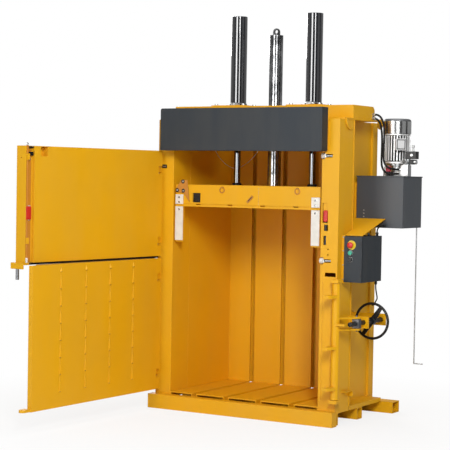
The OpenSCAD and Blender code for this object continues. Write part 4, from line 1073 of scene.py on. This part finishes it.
LOOP = [(-548, 480, 1860), (-544, 480, 1845), (-510, 480, 1795), (-462, 480, 1750),
        (-412, 480, 1722), (-366, 480, 1713), (-318, 480, 1726), (-262, 480, 1758),
        (-212, 480, 1802), (-178, 480, 1846), (-174, 480, 1860)]
print("points in the pressure hose's route:", len(PRESSURE))

# %% Lay the five
HOSE, CABLE, THIN_CABLE = 0.007, 0.0045, 0.0025
CORDS = (
    ("pressure_hose", "hose_a", PRESSURE, HOSE, rubber, "black_rubber", "medium"),
    ("return_hose", "hose_b", RETURN, HOSE, rubber, "black_rubber", "medium"),
    ("control_cable", "box_cable", CONTROL, CABLE, rubber, "black_rubber", "limp"),
    ("lock_switch_cable", "lock_cable", LOCK_SWITCH, CABLE, rubber, "black_rubber", "limp"),
    ("head_loop_cable", "loop_cable", LOOP, THIN_CABLE, pale_sheath, "pale_cable", "limp"),
)
for cord in CORDS:
    lay_cord(*cord)

# %% [markdown]
# ## The studio
# The machine stands on a pale floor under broad soft lamps: a strong one high at the
# front right, a weaker one at the front left, one behind and one overhead. The floor turns
# to plain white away from the machine, where the camera would see it go grey, and keeps
# the shadow near it. Polished steel only looks like steel when it has something dark and
# something bright to reflect, so black cards and two white strip lights stand round the
# set, as in a real studio, and only reflections see them.


# %% Lamps
def soft_lamp(name, place, target, size, power):
    data = bpy.data.lights.new(name, "AREA")
    data.shape = "RECTANGLE"
    data.size, data.size_y = size
    data.energy = power
    lamp = bpy.data.objects.new(name, data)
    lamp.location = place
    lamp.rotation_mode = "QUATERNION"
    lamp.rotation_quaternion = (Vector(target) - Vector(place)).to_track_quat("-Z", "Y")
    bpy.context.scene.collection.objects.link(lamp)
    print(name, "gives", power, "watts")


soft_lamp("key_lamp", (4.5, -5.9, 4.6), (0.0, 0.0, 1.2), (1.2, 2.4), 388.0)
soft_lamp("front_lamp", (-0.6, -6.8, 4.2), (0.0, 0.0, 1.4), (1.6, 2.6), 84.0)
soft_lamp("rear_lamp", (-4.8, 5.2, 4.2), (0.0, 0.4, 1.2), (2.4, 2.4), 190.0)
soft_lamp("top_lamp", (0.5, 0.8, 6.8), (0.0, 0.4, 0.0), (4.0, 4.0), 140.0)


# %% The floor
def flat_card(name, size, place, turn=0.0, tilt=0.0):
    sheet = bmesh.new()
    bmesh.ops.create_grid(sheet, x_segments=2, y_segments=2, size=0.5)
    bmesh.ops.scale(sheet, vec=(*size, 1.0), verts=sheet.verts)
    mesh = bpy.data.meshes.new(name)
    sheet.to_mesh(mesh)
    sheet.free()
    card = bpy.data.objects.new(name, mesh)
    card.rotation_euler = (tilt, 0.0, turn)
    card.location = place
    bpy.context.scene.collection.objects.link(card)
    return card


WHITE = (1.0, 1.0, 1.0, 1.0)
JUST_BELOW = -0.0005
floor = flat_card("floor", (80.0, 80.0), (0.0, 0.0, JUST_BELOW))
ground = Finish("studio_floor", specular=0.1)
ground.set(Base_Color=rgb(246, 246, 246), Roughness=0.8)
away = ground.vector("LENGTH", ground.place, result="Value")
far = ground.ramp((away - 1.0) * 0.6, (0.0, 0.80), (1.0, 1.0))
rays = ground.node("ShaderNodeLightPath")
camera_ray = rays.out("Is Camera Ray")
glossy_ray = rays.out("Is Glossy Ray")
through_ray = rays.out("Is Transmission Ray")
seen = (camera_ray + glossy_ray + through_ray).clamped()
level = camera_ray + through_ray + glossy_ray * 0.4
glow = ground.node("ShaderNodeEmission", {}, {"Color": WHITE, "Strength": level})
lit = Node(ground, ground.shader).out("BSDF")
both = ground.node("ShaderNodeMixShader", {}, {0: far * seen, 1: lit, 2: glow.out("Emission")})
ground.feed(ground.tree.nodes["Material Output"].inputs["Surface"], both.out("Shader"))
floor.data.materials.append(ground.material)
print("the floor is", floor.dimensions.x, "m wide")

# %% Cards and strip lights that only reflections see
felt = Finish("black_felt", specular=0.0)
felt.set(Base_Color=(0.01, 0.01, 0.01, 1.0), Roughness=1.0)
strip = Finish("strip_light", specular=0.0)
strip.set(Base_Color=(0.0, 0.0, 0.0, 1.0), Emission_Color=WHITE, Emission_Strength=8.5)
STAND_OFF = 6.9
CARD_HEIGHT = 5.2
CARDS = ((-99.0, 2.3, strip), (-74.0, 2.2, felt), (-51.0, 1.2, strip), (-30.0, 2.6, felt),
         (-132.0, 1.1, felt), (20.0, 1.6, felt))
for number, (bearing, width, finish) in enumerate(CARDS):
    turn = math.radians(bearing)
    spot = (STAND_OFF * math.cos(turn), STAND_OFF * math.sin(turn), CARD_HEIGHT / 2)
    card = flat_card(f"card_{number}", (width, CARD_HEIGHT), spot, turn + math.pi / 2, math.pi / 2)
    card.data.materials.append(finish.material)
    card.visible_camera = False
    card.visible_diffuse = False
    card.visible_shadow = False
    card.visible_transmission = False
print("cards:", len(CARDS))

# %% [markdown]
# ## The white surroundings
# The camera sees plain white round the machine. Glossy surfaces see a darker white, so that
# they keep their contrast, and the light that the surroundings throw on the machine is
# weaker still and a little warm, like light that has bounced about a room. Light Path tells
# the rays apart, and the brightest of the levels counts.

# %% One level of white for each kind of ray
sky = bpy.data.worlds.new("studio")
sky.use_nodes = True
bpy.context.scene.world = sky
air = Web(sky.node_tree)
rays = air.node("ShaderNodeLightPath")
plain = rays.out("Is Camera Ray").or_larger(rays.out("Is Transmission Ray"))
level = plain.or_larger(rays.out("Is Glossy Ray") * 0.36).or_larger(0.175)
tint = air.mix(rays.out("Is Diffuse Ray"), WHITE, (1.0, 0.88, 0.74, 1.0))
background = air.tree.nodes["Background"].inputs
air.feed(background["Strength"], level)
air.feed(background["Color"], tint)
bpy.context.scene.view_settings.view_transform = "Standard"
